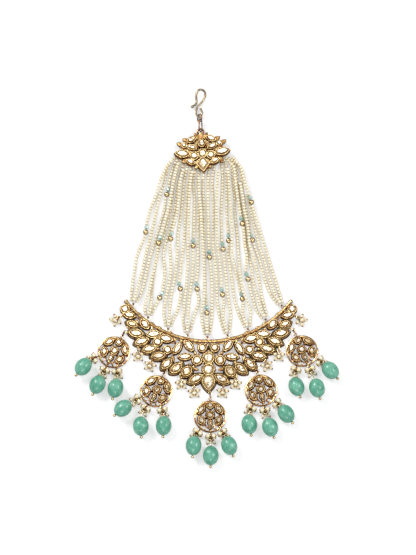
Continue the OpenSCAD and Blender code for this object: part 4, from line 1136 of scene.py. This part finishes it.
settle(crystals, "aqua_crystals", aqua, ["accent_aqua"], smooth=0)

# Crown plaque
# A small pierced plaque of the same make gathers the strings at the top. It has a round flower
# in the middle, leaves and horns at the sides, and a ring on a stalk for the link.
CROWN_BASE = LO + STRING_D / 2 + 0.15
CROWN_PLATE = 0.8
CROWN_TOP = CROWN_BASE + 2.6
CROWN_AT = (CROWN_X, 106.3)
CROWN_TURN = 4
BAIL = (-0.1, 11.8)
CROWN = [
    ("round", 0, 0, 3.8, 3.8, 0), ("round", 0, 5.4, 3.2, 3.2, 0), ("kite", 0, -5.3, 7, 5.4, 90),
    ("round", 4.2, -1, 3.4, 3.4, 0), ("leaf", 10, 0.5, 6.6, 3.2, 8), ("leaf", 4.9, 7.6, 4.6, 2.2, -24),
    ("round", 8.9, 4.9, 2, 2, 0), ("leaf", 5.2, 3.6, 4.4, 2.1, 18), ("leaf", 6.1, -4, 4, 1.9, 25)]


def disc(x, y, radius, low, high):
    """A flat round plate with a broken edge."""
    thing = outline("round", 2 * radius, 2 * radius, 28)
    bpy.ops.transform.translate(value=(0, 0, low))
    bpy.ops.mesh.extrude_region_move(TRANSFORM_OT_translate={"value": (0, 0, high - low - 0.12)})
    bpy.ops.mesh.inset(thickness=0.12, depth=0.12)
    clear()
    thing.matrix_world = Matrix.Translation((x, y, 0))
    return thing


CROWN_PETALS = [
    ("leaf", 0, 9, 5.4, 2.8, 90), ("leaf", 2.3, 9.2, 4.4, 2.2, 62), ("leaf", 7.6, 7.4, 4.6, 2.4, 28),
    ("leaf", 10.7, 5.5, 4.6, 2.3, 28), ("leaf", 9.2, 2.9, 3.4, 1.8, 30), ("leaf", 2.4, 4.1, 3, 1.5, 60),
    ("leaf", 3, -6.4, 3.6, 1.9, -40), ("leaf", 8.6, -3, 4.4, 2.2, -22),
    ("leaf", 6.9, -0.9, 2.8, 1.5, 0)]
crown = with_mirror(CROWN, lambda row: cup(row, CROWN_BASE, CROWN_PLATE, CROWN_TOP))
crown += with_mirror(CROWN_PETALS, petal, CROWN_BASE, CROWN_BASE + 1.9)
back = (CROWN_BASE, CROWN_BASE + CROWN_PLATE)
crown.append(disc(0, 1.5, 5, *back))
crown.append(disc(0, 6, 3.6, *back))
for side in (-1, 1):
    for x, y, radius in ((6.5, 1.2, 2.6), (8.6, 3.2, 1.6), (4.2, -3, 1.9)):
        crown.append(disc(side * x, y, radius, *back))
    crown.append(bar((side * 8.9, 4.9), (side * 11.4, 4.9), 1.1, *back))
    for x, y, rise, radius in ((7.2, 6.1, 1.1, 0.6), (2.5, 8.2, 1.1, 0.6), (2.6, 2.4, 1.4, 0.55),
                               (8.4, -2.6, 1.1, 0.6)):
        crown.append(grain(side * x, y, CROWN_BASE + rise, radius))
crown += grain_circle(0, 0, 2.75, 14, CROWN_BASE + 1.7, 0.4)
crown.append(grain(9.4, -4.6, CROWN_BASE + 1, 1))
crown.append(bar((7, -3), (9.4, -4.6), 1, *back))
crown.append(bar((0, 6), (BAIL[0], BAIL[1] - 1.2), 1.8, *back))
crown.append(ring(*BAIL, CROWN_BASE + 0.42, 2, 1, steps=28))
plaque = joined(crown)
plaque.matrix_world = standing(*CROWN_AT, CROWN_TURN)
crown_gold = gold_finish("crown gold", (CROWN_BASE - 0.4) * MM, (CROWN_TOP - 0.5) * MM)
settle([plaque], "crown_setting", crown_gold, ["crown_plaque"])
tops = joined(with_mirror(CROWN, cut_stone, CROWN_BASE + CROWN_PLATE, CROWN_TOP))
tops.matrix_world = standing(*CROWN_AT, CROWN_TURN)
settle([tops], "crown_gems", glass_with_painted_flashes, ["crown_stones"], smooth=0)

# Hook
# One length of wire bent by hand: a small ball at its tip, a wide bow that goes over the hair,
# and a closed eye at the foot for the upper link.
HOOK = [
    (-8.9, 131.5, 0.85, 0.3), (-8.6, 131.7, 0.85, 0.75), (-8, 132.1, 0.85, 0.75), (-7.6, 132.4, 0.8, 0.5),
    (-6.6, 133, 0.7, 0.5), (-6.1, 134.8, 0.55, 0.5), (-6.3, 137.5, 0.55, 0.5), (-5.9, 139.9, 0.55, 0.5),
    (-4.8, 141, 0.55, 0.5), (-3.3, 141, 0.55, 0.5), (-2, 140, 0.55, 0.5), (-1.7, 138, 0.55, 0.5),
    (-2.6, 135.5, 0.6, 0.5), (-4, 133.5, 0.8, 0.5), (-5.4, 131.8, 1.1, 0.5), (-6.2, 130, 1.4, 0.5),
    (-6.2, 128, 1.6, 0.5), (-5.3, 126.3, 1.6, 0.5), (-4, 126.4, 1.6, 0.5), (-3.3, 128.1, 1.6, 0.5),
    (-3.7, 130, 1.5, 0.5), (-4.2, 130.9, 1.4, 0.5)]
bent, thick = [], []
for k in range(len(HOOK) - 1):
    a, b, c, d = [Vector(HOOK[min(max(j, 0), len(HOOK) - 1)]) for j in (k - 1, k, k + 1, k + 2)]
    for step in range(5):
        point = smooth(a, b, c, d, step / 5)
        bent.append(tuple(point[:3]))
        thick.append(min(point[3], 0.75))
bent.append(HOOK[-1][:3])
thick.append(0.45)
hook_gold, nodes, links, shader = finish_nodes("hook wire")
mottled(nodes, links, shader, [
    (0.3, (0.22, 0.15, 0.08)), (0.5, (0.42, 0.33, 0.20)), (0.7, (0.62, 0.54, 0.38))],
    Scale=260.0, Detail=2.0)
shader.inputs["Metallic"].default_value = 1.0
shader.inputs["Roughness"].default_value = 0.28
settle([wire(bent, thick, 12)], "hook_wire", hook_gold, ["hook"], smooth=60)
